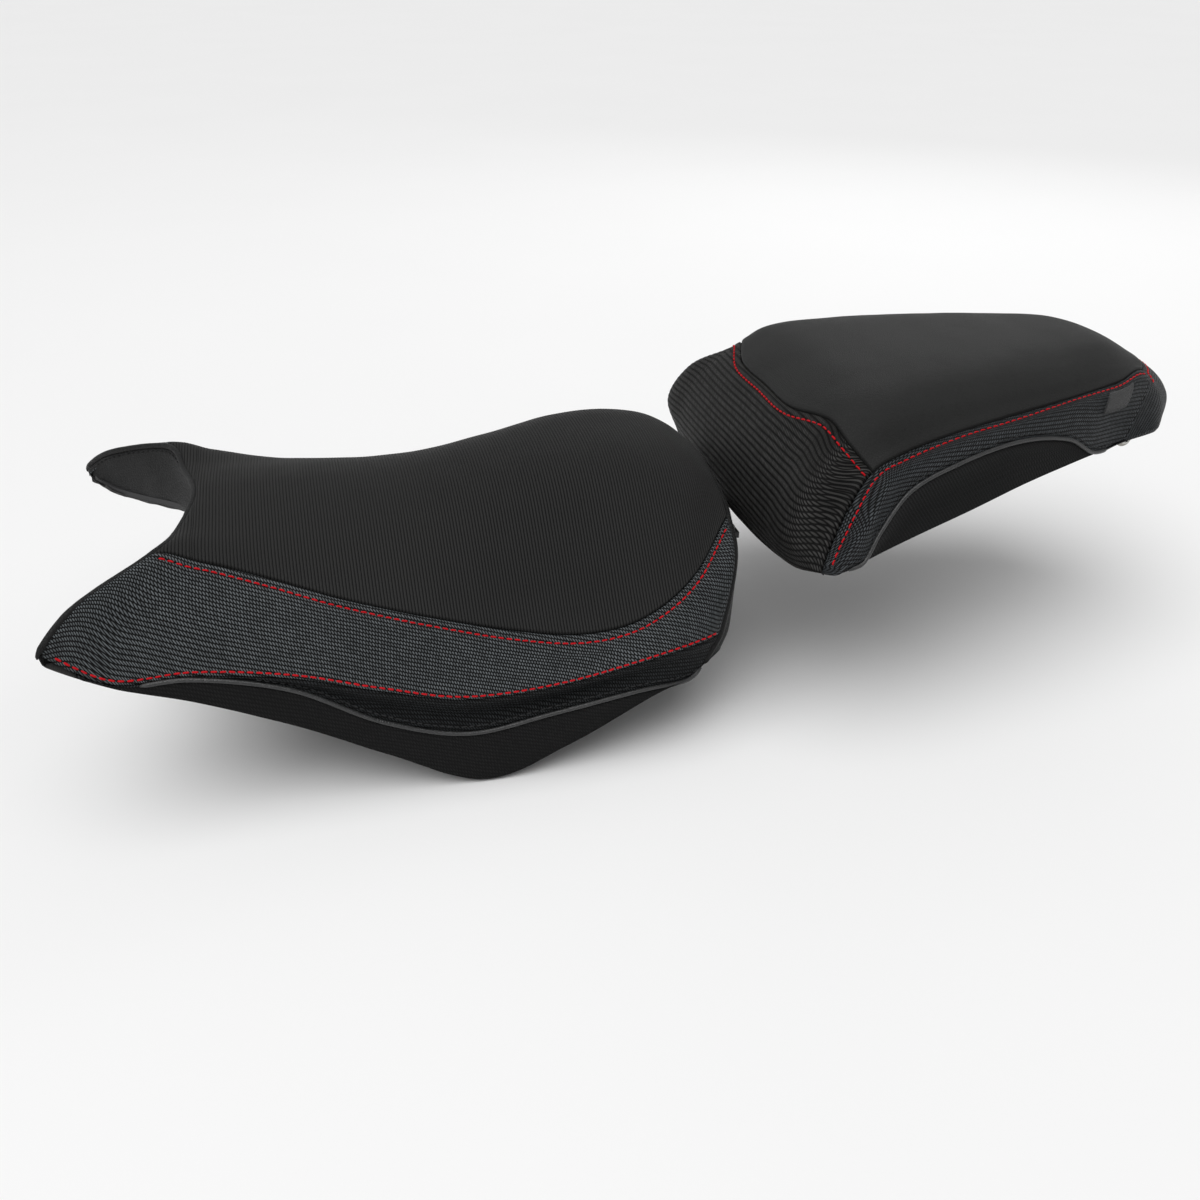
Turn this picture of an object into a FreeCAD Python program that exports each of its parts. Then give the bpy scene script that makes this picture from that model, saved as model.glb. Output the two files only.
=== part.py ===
import FreeCAD, Part
import math, os
# Two-piece sport motorcycle seat: a rider seat and a pillion seat.
# Frame: origin midway between the rider seat's two rear mounting holes, +X rearward,
# +Y to the motorcycle's right, +Z up. Millimetres throughout.

V = FreeCAD.Vector

# ---- driving dimensions (mm) ----
COVER_T = 1.4            # vinyl and leather cover, with its backing
SEAM_GAP = 0.3          # half of the gap left between neighbouring cover panels
FOAM_GAP = 3.0           # depth of the foam's skin under the outside of the cover
FOAM_LIFT = 1.6         # foam above the pan
PAN_T = 3.0              # moulded base pan wall
PAN_INSET = 4.2          # pan edge inside the cover's lower edge
PAN_LIFT = 2.6           # pan edge above the cover's lower edge
HEM_T = 1.1              # wrapped-under cover hem
WELT_R = 1.6             # piping cord in the welts
SUB = 2                  # surface subdivisions between two rails

TAB_X0, TAB_X1, TAB_HALF, TAB_T = -66.0, -4.0, 26.5, 4.0   # rear mounting tab
HOLE_X = TAB_X1 - 8.0   # the two mounting holes, in the rails' own frame
BOLT_SPACING = 36.0      # between the two M6 mounting holes
COLLAR_R, COLLAR_BORE = 6.0, 3.3
TONGUE_X0, TONGUE_X1, TONGUE_HALF, TONGUE_T = -354.0, -262.0, 19.0, 3.0
TONGUE_Z = 2.0           # underside of the front tongue
DAMPER_R, DAMPER_H, DAMPER_Z = 9.0, 8.0, -11.0
RIDER_DAMPERS = [(-222.0, 58.0), (-104.0, 62.0)]
PILLION_DAMPERS = [(66.0, 68.0, 24.0), (190.0, 52.0, 42.0)]   # station, half spacing, bottom face
STRIKER_X, STRIKER_HALF, STRIKER_R, STRIKER_Z = 46.0, 13.0, 3.0, -18.0
HOOK_X, HOOK_Z, HOOK_R, HOOK_HALF = 262.0, 40.0, 3.5, 30.0
SLEEVE_R, SLEEVE_L = 6.0, 14.0

# Each row runs across the seat from the centre line to the right-hand lower edge; the left is its mirror.
# Rider rails: centre, mid, top seam, side panel, lower seam, band crease, welt, lower edge.
# Pillion rails: centre, two kinks of the front seam, shoulder, side seam, bolster, welt, inset, lower edge.
RIDER_RAILS = [
    [(-336.0, 0.0, 30.0), (-340.0, 42.0, 25.0), (-363.0, 78.0, 18.0), (-388.0, 104.0, 16.0), (-398.0, 114.0, 18.5), (-399.0, 114.8, 18.0), (-400.0, 115.6, 18.0), (-401.0, 116.4, 18.0)],  # front wall, lower edge
    [(-328.0, 0.0, 41.0), (-334.0, 42.0, 39.0), (-357.0, 78.0, 35.0), (-386.0, 105.0, 28.0), (-400.5, 117.0, 24.0), (-400.8, 117.6, 23.0), (-401.0, 118.0, 22.0), (-401.2, 118.3, 21.0)],  # front wall, middle
    [(-328.0, 0.0, 52.5), (-335.0, 42.0, 50.5), (-348.2, 78.0, 53.0), (-385.3, 105.0, 41.2), (-402.5, 119.0, 26.4), (-402.5, 119.2, 23.7), (-402.0, 119.4, 21.7), (-401.0, 119.6, 19.6)],  # front rim
    [(-310.0, 0.0, 56.5), (-316.0, 42.0, 53.0), (-323.1, 79.0, 48.1), (-360.5, 104.0, 31.9), (-374.1, 122.4, 6.4), (-373.8, 122.5, 5.9), (-373.5, 122.6, 5.5), (-373.1, 122.7, 4.9)],  # horn
    [(-267.0, 0.0, 56.0), (-267.0, 43.0, 50.0), (-290.6, 82.0, 35.7), (-319.3, 107.0, 21.8), (-333.7, 123.5, 5.6), (-333.7, 123.2, 4.7), (-333.6, 123.4, 4.0), (-333.0, 124.5, -9.4)],
    [(-224.0, 0.0, 55.0), (-224.0, 45.0, 47.0), (-249.5, 89.0, 20.2), (-272.0, 112.0, 8.7), (-285.0, 127.0, -1.4), (-284.9, 125.0, -6.0), (-284.7, 126.5, -8.2), (-283.3, 128.0, -30.8)],
    [(-187.0, 0.0, 59.0), (-187.0, 47.0, 48.0), (-208.0, 97.0, 8.6), (-227.5, 117.0, -4.3), (-240.2, 130.0, -14.7), (-240.8, 126.5, -25.4), (-240.7, 130.5, -32.8), (-238.3, 131.0, -54.6)],
    [(-150.0, 0.0, 65.5), (-150.0, 50.0, 52.5), (-164.4, 105.0, -1.4), (-181.7, 121.5, -13.7), (-196.0, 132.5, -25.5), (-195.5, 128.5, -38.2), (-195.6, 133.5, -46.1), (-187.8, 134.0, -78.3)],  # lowest point of the skirt
    [(-112.0, 0.0, 71.0), (-112.0, 52.0, 59.0), (-121.6, 111.0, -6.4), (-133.4, 124.5, -15.4), (-145.0, 133.0, -24.8), (-145.4, 129.0, -34.9), (-147.7, 134.0, -40.5), (-139.0, 134.5, -62.6)],
    [(-77.0, 0.0, 72.5), (-75.0, 50.0, 61.0), (-84.3, 108.0, 0.0), (-85.8, 120.0, -9.6), (-88.5, 128.0, -18.8), (-91.7, 125.5, -28.4), (-97.5, 130.0, -36.3), (-88.8, 130.5, -40.4)],  # widest rear
    [(-49.0, 0.0, 67.0), (-46.0, 46.0, 56.0), (-53.1, 92.0, 14.1), (-52.0, 105.0, 1.3), (-57.0, 119.0, -17.4), (-60.7, 118.5, -26.1), (-68.1, 122.5, -38.7), (-66.8, 123.0, -37.6)],
    [(-26.0, 0.0, 50.0), (-26.0, 38.0, 44.0), (-24.7, 60.0, 31.0), (-29.3, 88.0, 14.9), (-45.1, 110.5, -18.4), (-49.3, 113.0, -24.0), (-56.9, 117.0, -34.0), (-56.5, 117.3, -33.7)],  # rear rim
    [(-17.0, 0.0, 30.0), (-17.5, 36.0, 26.0), (-21.0, 58.0, 15.0), (-28.0, 83.0, -2.0), (-36.0, 102.0, -20.0), (-40.0, 107.0, -24.0), (-43.0, 109.0, -28.0), (-43.5, 109.5, -29.0)],  # rear wall, middle
    [(-20.0, 0.0, 10.0), (-21.0, 34.0, 7.0), (-26.0, 55.0, -2.0), (-34.0, 78.0, -15.0), (-43.0, 97.0, -27.0), (-45.0, 100.0, -29.0), (-47.0, 102.0, -31.0), (-48.0, 103.0, -32.0)],  # rear wall, lower edge
]
PILLION_RAILS = [
    [(-10.0, 0.0, 18.0), (-9.5, 44.0, 18.0), (-8.0, 80.0, 19.5), (-3.5, 114.0, 22.0), (3.6, 133.0, 26.6), (9.7, 138.0, 26.9), (14.8, 138.2, 28.3), (15.4, 138.0, 28.2), (16.1, 137.8, 28.2)],  # front wall, lower edge
    [(-11.0, 0.0, 34.0), (-11.0, 44.0, 34.5), (-10.5, 80.0, 35.5), (-9.0, 116.0, 41.0), (10.5, 127.0, 37.0), (17.1, 137.0, 39.3), (21.0, 137.2, 29.7), (21.4, 137.0, 29.5), (21.9, 136.8, 29.3)],
    [(-2.0, 0.0, 62.0), (-2.0, 44.0, 62.5), (-1.0, 80.0, 64.0), (4.0, 108.0, 67.0), (23.8, 117.0, 54.0), (29.2, 133.0, 52.9), (27.7, 136.0, 32.5), (28.2, 135.8, 32.3), (28.6, 135.6, 32.0)],
    [(16.7, 0.0, 89.1), (17.4, 43.6, 89.4), (27.8, 74.0, 92.3), (33.7, 89.0, 83.9), (43.5, 104.0, 70.8), (43.7, 122.0, 69.2), (40.0, 129.0, 47.6), (44.9, 128.0, 40.7), (43.0, 131.0, 34.7)],  # front seam of the top
    [(42.0, 0.0, 105.0), (43.0, 46.0, 104.5), (47.0, 74.0, 102.0), (54.0, 88.0, 93.5), (64.8, 98.5, 77.9), (60.7, 114.0, 74.1), (59.1, 119.0, 62.9), (63.8, 119.0, 50.4), (66.6, 125.0, 39.5)],
    [(79.0, 0.0, 112.0), (80.0, 45.0, 110.5), (83.0, 68.0, 106.0), (88.0, 81.0, 97.0), (96.9, 91.5, 83.3), (91.9, 105.0, 81.1), (92.7, 110.0, 72.9), (97.6, 111.0, 59.8), (99.6, 118.0, 46.7)],
    [(133.0, 0.0, 113.5), (134.0, 42.0, 111.5), (136.0, 61.0, 106.5), (137.0, 73.0, 98.5), (137.6, 83.5, 87.7), (133.3, 96.0, 85.8), (136.1, 100.0, 78.1), (137.9, 102.5, 67.5), (138.6, 107.5, 54.4)],
    [(188.0, 0.0, 112.5), (189.0, 36.0, 110.5), (188.0, 53.0, 105.0), (187.0, 63.0, 98.5), (183.6, 72.0, 90.3), (172.5, 86.0, 88.8), (173.0, 92.5, 72.8), (172.7, 94.0, 66.2), (171.1, 98.0, 58.7)],
    [(233.0, 0.0, 109.0), (231.0, 26.0, 107.5), (228.5, 38.0, 103.5), (228.0, 47.0, 97.5), (227.5, 55.0, 90.7), (216.2, 71.0, 87.0), (195.7, 88.2, 60.6), (196.1, 88.4, 60.3), (196.4, 88.6, 60.1)],
    [(270.0, 0.0, 90.0), (269.0, 14.0, 90.0), (266.5, 23.0, 90.0), (263.0, 30.0, 89.5), (257.8, 37.0, 89.9), (252.8, 52.0, 84.9), (226.5, 74.2, 60.1), (227.2, 74.3, 59.9), (227.9, 74.4, 59.6)],  # rear seam of the top
    [(288.5, 0.0, 74.5), (287.5, 15.0, 74.5), (285.0, 25.0, 74.0), (282.0, 32.0, 73.5), (278.0, 39.0, 72.5), (268.0, 51.0, 68.5), (254.0, 66.0, 62.5), (253.2, 66.0, 61.0), (252.5, 66.0, 59.8)],  # rear wall, middle
    [(290.0, 0.0, 55.0), (289.0, 14.0, 55.0), (286.5, 24.0, 55.0), (283.5, 31.0, 55.0), (279.5, 37.5, 55.0), (273.0, 45.0, 55.4), (265.0, 54.0, 57.0), (264.3, 54.5, 57.2), (263.5, 55.0, 57.5)],  # rear wall, lower edge
]


def vecs(table):
    return [[V(*p) for p in row] for row in table]


def mirror_full(half):
    """Half rows (centre to right edge) to full rows, left edge first."""
    out = []
    for row in half:
        left = [V(p.x, -p.y, p.z) for p in reversed(row[1:])]
        out.append(left + list(row))
    return out


def smooth_rows(P, n):
    """Smooth curve through the rows of a grid, n steps between rows."""
    m = len(P)
    d = []
    for i in range(m - 1):
        d.append(max(1e-6, sum((P[i + 1][k] - P[i][k]).Length for k in range(len(P[0]))) / len(P[0])) ** 0.5)
    t = [0.0]
    for x in d:
        t.append(t[-1] + x)
    T = []
    for i in range(m):
        row = []
        for k in range(len(P[0])):
            if i == 0:
                row.append((P[1][k] - P[0][k]) * (1.0 / d[0]))
            elif i == m - 1:
                row.append((P[-1][k] - P[-2][k]) * (1.0 / d[-1]))
            else:
                a = (P[i][k] - P[i - 1][k]) * (1.0 / d[i - 1])
                b = (P[i + 1][k] - P[i][k]) * (1.0 / d[i])
                row.append((a * d[i] + b * d[i - 1]) * (1.0 / (d[i - 1] + d[i])))
        T.append(row)
    out = []
    for i in range(m - 1):
        h = d[i]
        for q in range(n if i < m - 2 else n + 1):
            s = q / float(n)
            h00, h10 = 2 * s ** 3 - 3 * s ** 2 + 1, s ** 3 - 2 * s ** 2 + s
            h01, h11 = -2 * s ** 3 + 3 * s ** 2, s ** 3 - s ** 2
            out.append([P[i][k] * h00 + T[i][k] * (h10 * h) + P[i + 1][k] * h01 + T[i + 1][k] * (h11 * h)
                        for k in range(len(P[0]))])
    return out


def transpose(P):
    return [list(r) for r in zip(*P)]


def dense(half, n=SUB):
    G = mirror_full(half)
    G = smooth_rows(G, n)
    return transpose(smooth_rows(transpose(G), n))


def normals(G):
    R, C = len(G), len(G[0])
    N = []
    for i in range(R):
        row = []
        for j in range(C):
            a, b = G[max(i - 1, 0)][j], G[min(i + 1, R - 1)][j]
            c, d = G[i][max(j - 1, 0)], G[i][min(j + 1, C - 1)]
            v = (b - a).cross(d - c)
            row.append(v)
        N.append(row)
    out = []
    for i in range(R):
        row = []
        for j in range(C):
            v = V(0, 0, 0)
            for a, b, w in ((0, 0, 2.0), (-1, 0, 1.0), (1, 0, 1.0), (0, -1, 1.0), (0, 1, 1.0)):
                ii, jj = min(max(i + a, 0), R - 1), min(max(j + b, 0), C - 1)
                u = N[ii][jj]
                if u.Length > 1e-9:
                    v = v + u * (w / u.Length)
            row.append(v * (1.0 / max(v.Length, 1e-9)))
        out.append(row)
    return out


def line_poles(Q):
    """Poles of a C1 cubic through the points Q (double interior knots)."""
    m = len(Q) - 1
    T = []
    for i in range(m + 1):
        if i == 0:
            T.append(Q[1] - Q[0])
        elif i == m:
            T.append(Q[m] - Q[m - 1])
        else:
            T.append((Q[i + 1] - Q[i - 1]) * 0.5)
    out = [Q[0], Q[0] + T[0] * (1.0 / 3)]
    for i in range(1, m):
        out += [Q[i] - T[i] * (1.0 / 3), Q[i] + T[i] * (1.0 / 3)]
    out += [Q[m] - T[m] * (1.0 / 3), Q[m]]
    return out


def knot_vec(n_pts):
    m = n_pts - 1
    return [float(k) for k in range(m + 1)], [4] + [2] * (m - 1) + [4]


def patch(P):
    """Smooth face through a grid of points."""
    A = [line_poles(r) for r in P]
    B = transpose([line_poles(c) for c in transpose(A)])
    ku, mu = knot_vec(len(P))
    kv, mv = knot_vec(len(P[0]))
    s = Part.BSplineSurface()
    s.buildFromPolesMultsKnots(B, mu, mv, ku, kv, False, False, 3, 3)
    return s.toShape()


def wall(a, b):
    """Side face between two edge lines with the same number of points."""
    A, B = line_poles(a), line_poles(b)
    k, m = knot_vec(len(a))
    s = Part.BSplineSurface()
    s.buildFromPolesMultsKnots([A, B], [2, 2], m, [0.0, 1.0], k, False, False, 1, 3)
    return s.toShape()


def to_solid(faces, name=""):
    comp = Part.Compound(faces)
    comp.sewShape()
    shells = comp.Shells
    if not shells:
        comp = Part.makeShell(faces)
        shells = [comp] if comp.ShapeType == "Shell" else comp.Shells
    sol = Part.Solid(shells[0])
    if sol.Volume < 0:
        sol.reverse()
    if len(shells) != 1 or not sol.isValid() or not shells[0].isClosed():
        print("CHECK", name, "shells", len(shells), "valid", sol.isValid(), "closed", shells[0].isClosed(), "vol", round(sol.Volume, 1))
    return sol


def lerp(a, b, t):
    return a * (1.0 - t) + b * t


def cells_solid(G, N, cells, d0, d1, gap=SEAM_GAP, name=""):
    """Slab under the surface between depths d0 and d1, over index cells that meet on whole edges."""
    edges = {}
    for c in cells:
        i0, i1, j0, j1 = c
        for e in (("r", i0, j0, j1), ("r", i1, j0, j1), ("c", j0, i0, i1), ("c", j1, i0, i1)):
            edges.setdefault(e, []).append(c)
    disp = {}

    def add(i, j, v):
        if v.Length > 1e-9 and gap > 0:
            disp.setdefault((i, j), []).append(v * (gap / v.Length))

    outer_edges = [e for e in edges if len(edges[e]) == 1]
    for e in outer_edges:
        i0, i1, j0, j1 = edges[e][0]
        if e[0] == "r":
            i = e[1]
            k = 1 if i == i0 else -1
            for j in range(e[2], e[3] + 1):
                add(i, j, G[i + k][j] - G[i][j])
        else:
            j = e[1]
            k = 1 if j == j0 else -1
            for i in range(e[2], e[3] + 1):
                add(i, j, G[i][j + k] - G[i][j])

    def pt(i, j, d):
        p = G[i][j] - N[i][j] * d
        for v in disp.get((i, j), []):
            p = p + v
        return p

    faces = []
    for i0, i1, j0, j1 in cells:
        for d in (d0, d1):
            faces.append(patch([[pt(i, j, d) for j in range(j0, j1 + 1)] for i in range(i0, i1 + 1)]))
    for e in outer_edges:
        if e[0] == "r":
            ids = [(e[1], j) for j in range(e[2], e[3] + 1)]
        else:
            ids = [(i, e[1]) for i in range(e[2], e[3] + 1)]
        faces.append(wall([pt(i, j, d0) for i, j in ids], [pt(i, j, d1) for i, j in ids]))
    return to_solid(faces, name)


def box(x0, x1, y0, y1, z0, z1):
    return Part.makeBox(x1 - x0, y1 - y0, z1 - z0, V(x0, y0, z0))


def cyl(r, h, x, y, z, d=V(0, 0, 1)):
    return Part.makeCylinder(r, h, V(x, y, z), d)


def tube_along(points, r, name=""):
    c = Part.BSplineCurve()
    c.interpolate(points)
    e = c.toShape()
    t = (points[1] - points[0])
    circ = Part.Wire(Part.makeCircle(r, points[0], t))
    s = Part.Wire(e).makePipeShell([circ], True, False)
    if not s.isValid() or s.Volume <= 0:
        print("CHECK", name, "pipe", s.isValid(), s.Volume)
    return s


def save(name, shape):
    """Writes one part, moved so that the midpoint of the mounting holes is the origin."""
    shape = shape.copy()
    shape.translate(V(-HOLE_X, 0, 0))
    shape.exportStep("parts/%s.step" % name)
    bb = shape.BoundBox
    print("%-30s vol %9.1f solids %d valid %s  x %.0f..%.0f y %.0f..%.0f z %.0f..%.0f" % (
        name, shape.Volume, len(shape.Solids), shape.isValid(), bb.XMin, bb.XMax, bb.YMin, bb.YMax, bb.ZMin, bb.ZMax))


def inward(p, xa, xb):
    c = V(min(max(p.x, xa), xb), 0, 0)
    v = V(c.x - p.x, -p.y, 0)
    return v * (1.0 / max(v.Length, 1e-9))


def pan_rails(rails, frac, xc, arch, xa, xb, first, last, inset=PAN_INSET):
    """Rails of the pan's upper face: an arch across each row, with its edge just inside the cover's lower edge."""
    n = len(rails)
    edge = []
    for i in range(n):
        p = rails[i][-1]
        edge.append(p + inward(p, xa, xb) * inset + V(0, 0, PAN_LIFT))

    def end_row(row):
        out = []
        for p in row:
            q = p + inward(p, xa, xb) * inset + V(0, 0, PAN_LIFT)
            out.append(V(q.x, 0 if p.y == 0 else q.y, q.z))
        return out
    rows = [None] * n
    rows[0] = end_row(rails[0])
    rows[n - 1] = end_row(rails[n - 1])
    for i in range(first, last + 1):
        e = edge[i]
        zc = arch[i]
        rows[i] = [V(xc[i] + (e.x - xc[i]) * t * t, e.y * t, zc - (zc - e.z) * t ** 4) for t in frac]
    for i in range(1, first):
        s = i / float(first)
        rows[i] = [lerp(lerp(rows[0][j], rows[first][j], s), edge[i], frac[j] ** 6) for j in range(len(frac))]
    for i in range(last + 1, n - 1):
        s = (i - last) / float(n - 1 - last)
        rows[i] = [lerp(lerp(rows[last][j], rows[n - 1][j], s), edge[i], frac[j] ** 6) for j in range(len(frac))]
    return rows


def sample(G, i, j, n, mid):
    """Point of a dense grid at rail positions i (row) and j (column, 0 at the centre)."""
    x = min(max(i * n, 0.0), len(G) - 1.0001)
    y = min(max(j * n + mid, 0.0), len(G[0]) - 1.0001)
    a, b = int(x), int(y)
    u, v = x - a, y - b
    return (G[a][b] * (1 - u) + G[a + 1][b] * u) * (1 - v) + (G[a][b + 1] * (1 - u) + G[a + 1][b + 1] * u) * v


def table_at(table, x):
    """Straight-line value of a list of (position, value) pairs."""
    for (a, p), (b, q) in zip(table, table[1:]):
        if a <= x <= b:
            return p + (q - p) * (x - a) / (b - a)
    return table[-1][1]


def pad_solid(cover, pan, rows, reach, pan_reach, depth, lift, name):
    """Moulded foam: under the cover out to the columns in reach, and down to the pan."""
    n = 8
    G, P = dense(cover, n), dense(pan, n)
    N, M = normals(G), normals(P)
    mid = (len(G[0]) - 1) // 2
    top, bottom = [], []
    r0, r1 = rows
    steps = int((r1 - r0) * 2)
    for k in range(steps + 1):
        i = r0 + (r1 - r0) * k / float(steps)
        w = table_at(reach, i)
        tr, br = [], []
        for c in range(-8, 9):
            t = c / 8.0
            tr.append(sample(G, i, t * w, n, mid) - sample(N, i, t * w, n, mid) * depth)
            br.append(sample(P, i, t * pan_reach, n, mid) + sample(M, i, t * pan_reach, n, mid) * lift)
        top.append(tr)
        bottom.append(br)
    faces = [patch(top), patch(bottom), wall(top[0], bottom[0]), wall(top[-1], bottom[-1]),
             wall([r[0] for r in top], [r[0] for r in bottom]), wall([r[-1] for r in top], [r[-1] for r in bottom])]
    return to_solid(faces, name)


os.makedirs("parts", exist_ok=True)

# ------------------------------------------------------------------ rider seat
R_HALF = vecs(RIDER_RAILS)
RG = dense(R_HALF)
RN = normals(RG)
nR, nC = len(RG), len(RG[0])
MID = (nC - 1) // 2


def rr(i):
    return int(i * SUB)


def rc(j):
    return int(MID + j * SUB)


def both(name, G, N, cells, d0, d1, mid, gap=SEAM_GAP):
    """cells given on the right side as (i0, i1, j0, j1); makes the right and the left solid."""
    right = cells_solid(G, N, cells, d0, d1, gap, name + "_right")
    left = cells_solid(G, N, [(a, b, 2 * mid - d, 2 * mid - c) for a, b, c, d in cells], d0, d1, gap, name + "_left")
    save(name + "_right", right)
    save(name + "_left", left)


save("rider_top_panel", cells_solid(RG, RN, [(rr(2), rr(11), rc(-2), rc(2))], 0, COVER_T, name="rider_top_panel"))
both("rider_side_panel", RG, RN, [(rr(2), rr(11), rc(2), rc(4))], 0, COVER_T, MID)
both("rider_accent_band", RG, RN, [(rr(4.5), rr(11), rc(4), rc(6))], 0, COVER_T, MID)
both("rider_skirt", RG, RN, [(rr(3.5), rr(11), rc(6), rc(7))], 0, COVER_T, MID, 0.12)
save("rider_front_panel", cells_solid(RG, RN, [(rr(0), rr(2), rc(-4), rc(4))], 0, COVER_T, name="rider_front_panel"))
save("rider_rear_panel", cells_solid(RG, RN, [(rr(11), rr(13), rc(-4), rc(4))], 0, COVER_T, name="rider_rear_panel"))

R_FRAC = [0.0, 0.30, 0.55, 0.75, 0.88, 0.93, 0.97, 1.0]
R_XC = [-336, -330, -322, -300, -262, -222, -187, -150, -112, -80, -52, -30, -25, -20]
R_ARCH = [30, 28, 25, 20, 12, 7, 5, 5, 5, 5, 5, 6, 9, 10]
RP_HALF = pan_rails(R_HALF, R_FRAC, R_XC, R_ARCH, -300, -60, 3, 10)
RPG = dense(RP_HALF)
RPN = normals(RPG)
R_REACH = [(1, 2.6), (2.5, 2.7), (4, 3.8), (5, 4.6), (6, 5.0), (9, 5.0), (10, 4.8), (11, 4.2), (12, 3.6)]
save("rider_foam_pad", pad_solid(R_HALF, RP_HALF, (1, 12), R_REACH, 4.0, FOAM_GAP, FOAM_LIFT, "rider_foam_pad"))

rider_pan = cells_solid(RPG, RPN, [(0, nR - 1, 0, nC - 1)], 0, PAN_T, gap=0, name="rider_base_pan")
extras = [box(TAB_X0, TAB_X1, -TAB_HALF, TAB_HALF, -TAB_T / 2, TAB_T / 2),
          box(TAB_X0, TAB_X0 + 16, -TAB_HALF, TAB_HALF, -1.0, 4.2)]
for x, y in RIDER_DAMPERS:
    for s in (-1, 1):
        extras.append(cyl(DAMPER_R + 2, 6.0 if x < -150 else 3.6, x, s * y, DAMPER_Z + DAMPER_H))
extras.append(box(TONGUE_X1 - 34, TONGUE_X1 + 4, -TONGUE_HALF - 5, TONGUE_HALF + 5, TONGUE_Z + TONGUE_T, 11.0))
for e in extras:
    rider_pan = rider_pan.fuse(e)
# stiffening ribs on the underside, cut to the pan's own curve
rib_zone = cells_solid(RPG, RPN, [(rr(3), rr(10.5), rc(-4), rc(4))], PAN_T - 0.6, PAN_T + 5.0, gap=0, name="rider ribs")
ribs = []
for x in (-250.0, -187.0, -150.0, -70.0):
    ribs.append(box(x - 1.2, x + 1.2, -130, 130, -80, 60))
for y in (-30.0, 30.0):
    ribs.append(box(-255, -68, y - 1.2, y + 1.2, -80, 60))
rib_set = ribs[0]
for r in ribs[1:]:
    rib_set = rib_set.fuse(r)
rider_ribs = rib_zone.common(rib_set)
keep = [s for s in rider_ribs.Solids]
for s in keep:
    rider_pan = rider_pan.fuse(s)
for s in (-1, 1):
    rider_pan = rider_pan.cut(cyl(COLLAR_R + 0.04, 30, HOLE_X, s * BOLT_SPACING / 2, -15))
RIVETS = [(TONGUE_X1 - 22.0, -11.0), (TONGUE_X1 - 22.0, 11.0)]
for x, y in RIVETS:
    rider_pan = rider_pan.cut(cyl(2.1, 5.5, x, y, TONGUE_Z))
save("rider_base_pan", rider_pan)

collars = []
for s in (-1, 1):
    y = s * BOLT_SPACING / 2
    c = cyl(COLLAR_R, TAB_T, HOLE_X, y, -TAB_T / 2).fuse(cyl(COLLAR_R + 1.5, 1.2, HOLE_X, y, TAB_T / 2))
    collars.append(c.cut(cyl(COLLAR_BORE, 20, HOLE_X, y, -10)))
save("rider_mount_collars", Part.Compound(collars))

tongue = box(TONGUE_X0 + TONGUE_HALF, TONGUE_X1, -TONGUE_HALF, TONGUE_HALF, TONGUE_Z, TONGUE_Z + TONGUE_T)
tongue = tongue.fuse(cyl(TONGUE_HALF, TONGUE_T, TONGUE_X0 + TONGUE_HALF, 0, TONGUE_Z))
for x, y in RIVETS:
    tongue = tongue.cut(cyl(2.1, 20, x, y, -5))
save("rider_front_tongue", tongue.removeSplitter())
rv = []
for x, y in RIVETS:
    head = Part.makeSphere(5.0, V(x, y, TONGUE_Z + 3.4)).common(cyl(4.0, 4.0, x, y, TONGUE_Z - 4.0))
    rv.append(cyl(2.0, 5.2, x, y, TONGUE_Z - 0.2).fuse(head).removeSplitter())
save("tongue_rivets", Part.Compound(rv))

dm = []
for x, y in RIDER_DAMPERS:
    for s in (-1, 1):
        d = cyl(DAMPER_R, DAMPER_H, x, s * y, DAMPER_Z)
        d = d.makeChamfer(1.0, [e for e in d.Edges if abs(e.BoundBox.ZMax - DAMPER_Z) < 1e-3 and abs(e.BoundBox.ZMin - DAMPER_Z) < 1e-3])
        dm.append(d)
save("rider_rubber_dampers", Part.Compound(dm))


def hems(prefix, PG, PN, i_front, i_rear, j_in, R, C, row_first, row_last, j_front):
    mid = (C - 1) // 2
    d0, d1 = PAN_T + 0.25, PAN_T + 0.25 + HEM_T
    both(prefix + "_hem", PG, PN, [(row_first, row_last, j_in, C - 1)], d0, d1, mid)
    save(prefix + "_hem_front", cells_solid(PG, PN, [(0, i_front, 2 * mid - j_front, j_front)], d0, d1, name=prefix + "_hem_front"))
    save(prefix + "_hem_rear", cells_solid(PG, PN, [(i_rear, R - 1, 2 * mid - j_in + 1, j_in - 1)], d0, d1, name=prefix + "_hem_rear"))


hems("rider", RPG, RPN, rr(2), rr(12), rc(5), nR, nC, rr(3), rr(11), rc(3))

wl = [RG[i][rc(6)] + RN[i][rc(6)] * (WELT_R + 0.6) for i in range(rr(4.5), rr(9.5) + 1)]
save("rider_welt_right", tube_along(wl, WELT_R, "rider_welt_right"))
save("rider_welt_left", tube_along([V(p.x, -p.y, p.z) for p in wl], WELT_R, "rider_welt_left"))


def staples(PG, PN, spots, depth, name):
    out = []
    for i, j, along in spots:
        p = PG[i][j] - PN[i][j] * depth
        n = PN[i][j]
        t = (PG[i + 1][j] - PG[i - 1][j]) if along == "i" else (PG[i][j + 1] - PG[i][j - 1])
        t = t * (1.0 / t.Length)
        b = n.cross(t)
        m = FreeCAD.Matrix(t.x, b.x, n.x, p.x, t.y, b.y, n.y, p.y, t.z, b.z, n.z, p.z, 0, 0, 0, 1)
        s = Part.makeBox(10.0, 1.2, 0.6, V(-5.0, -0.6, -0.9))
        s = s.transformGeometry(m)
        out.append(s)
    save(name, Part.Compound(out))


sp = []
for k in (7, 9, 11, 13, 15, 17, 19):
    sp += [(k, rc(6), "i"), (k, rc(-6), "i")]
for k in (-2, 0, 2):
    sp.append((2, rc(k), "j"))
for k in (-2, 0, 2):
    sp.append((nR - 2, rc(k), "j"))
staples(RPG, RPN, sp, PAN_T + 0.25 + HEM_T, "rider_staples")

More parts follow.
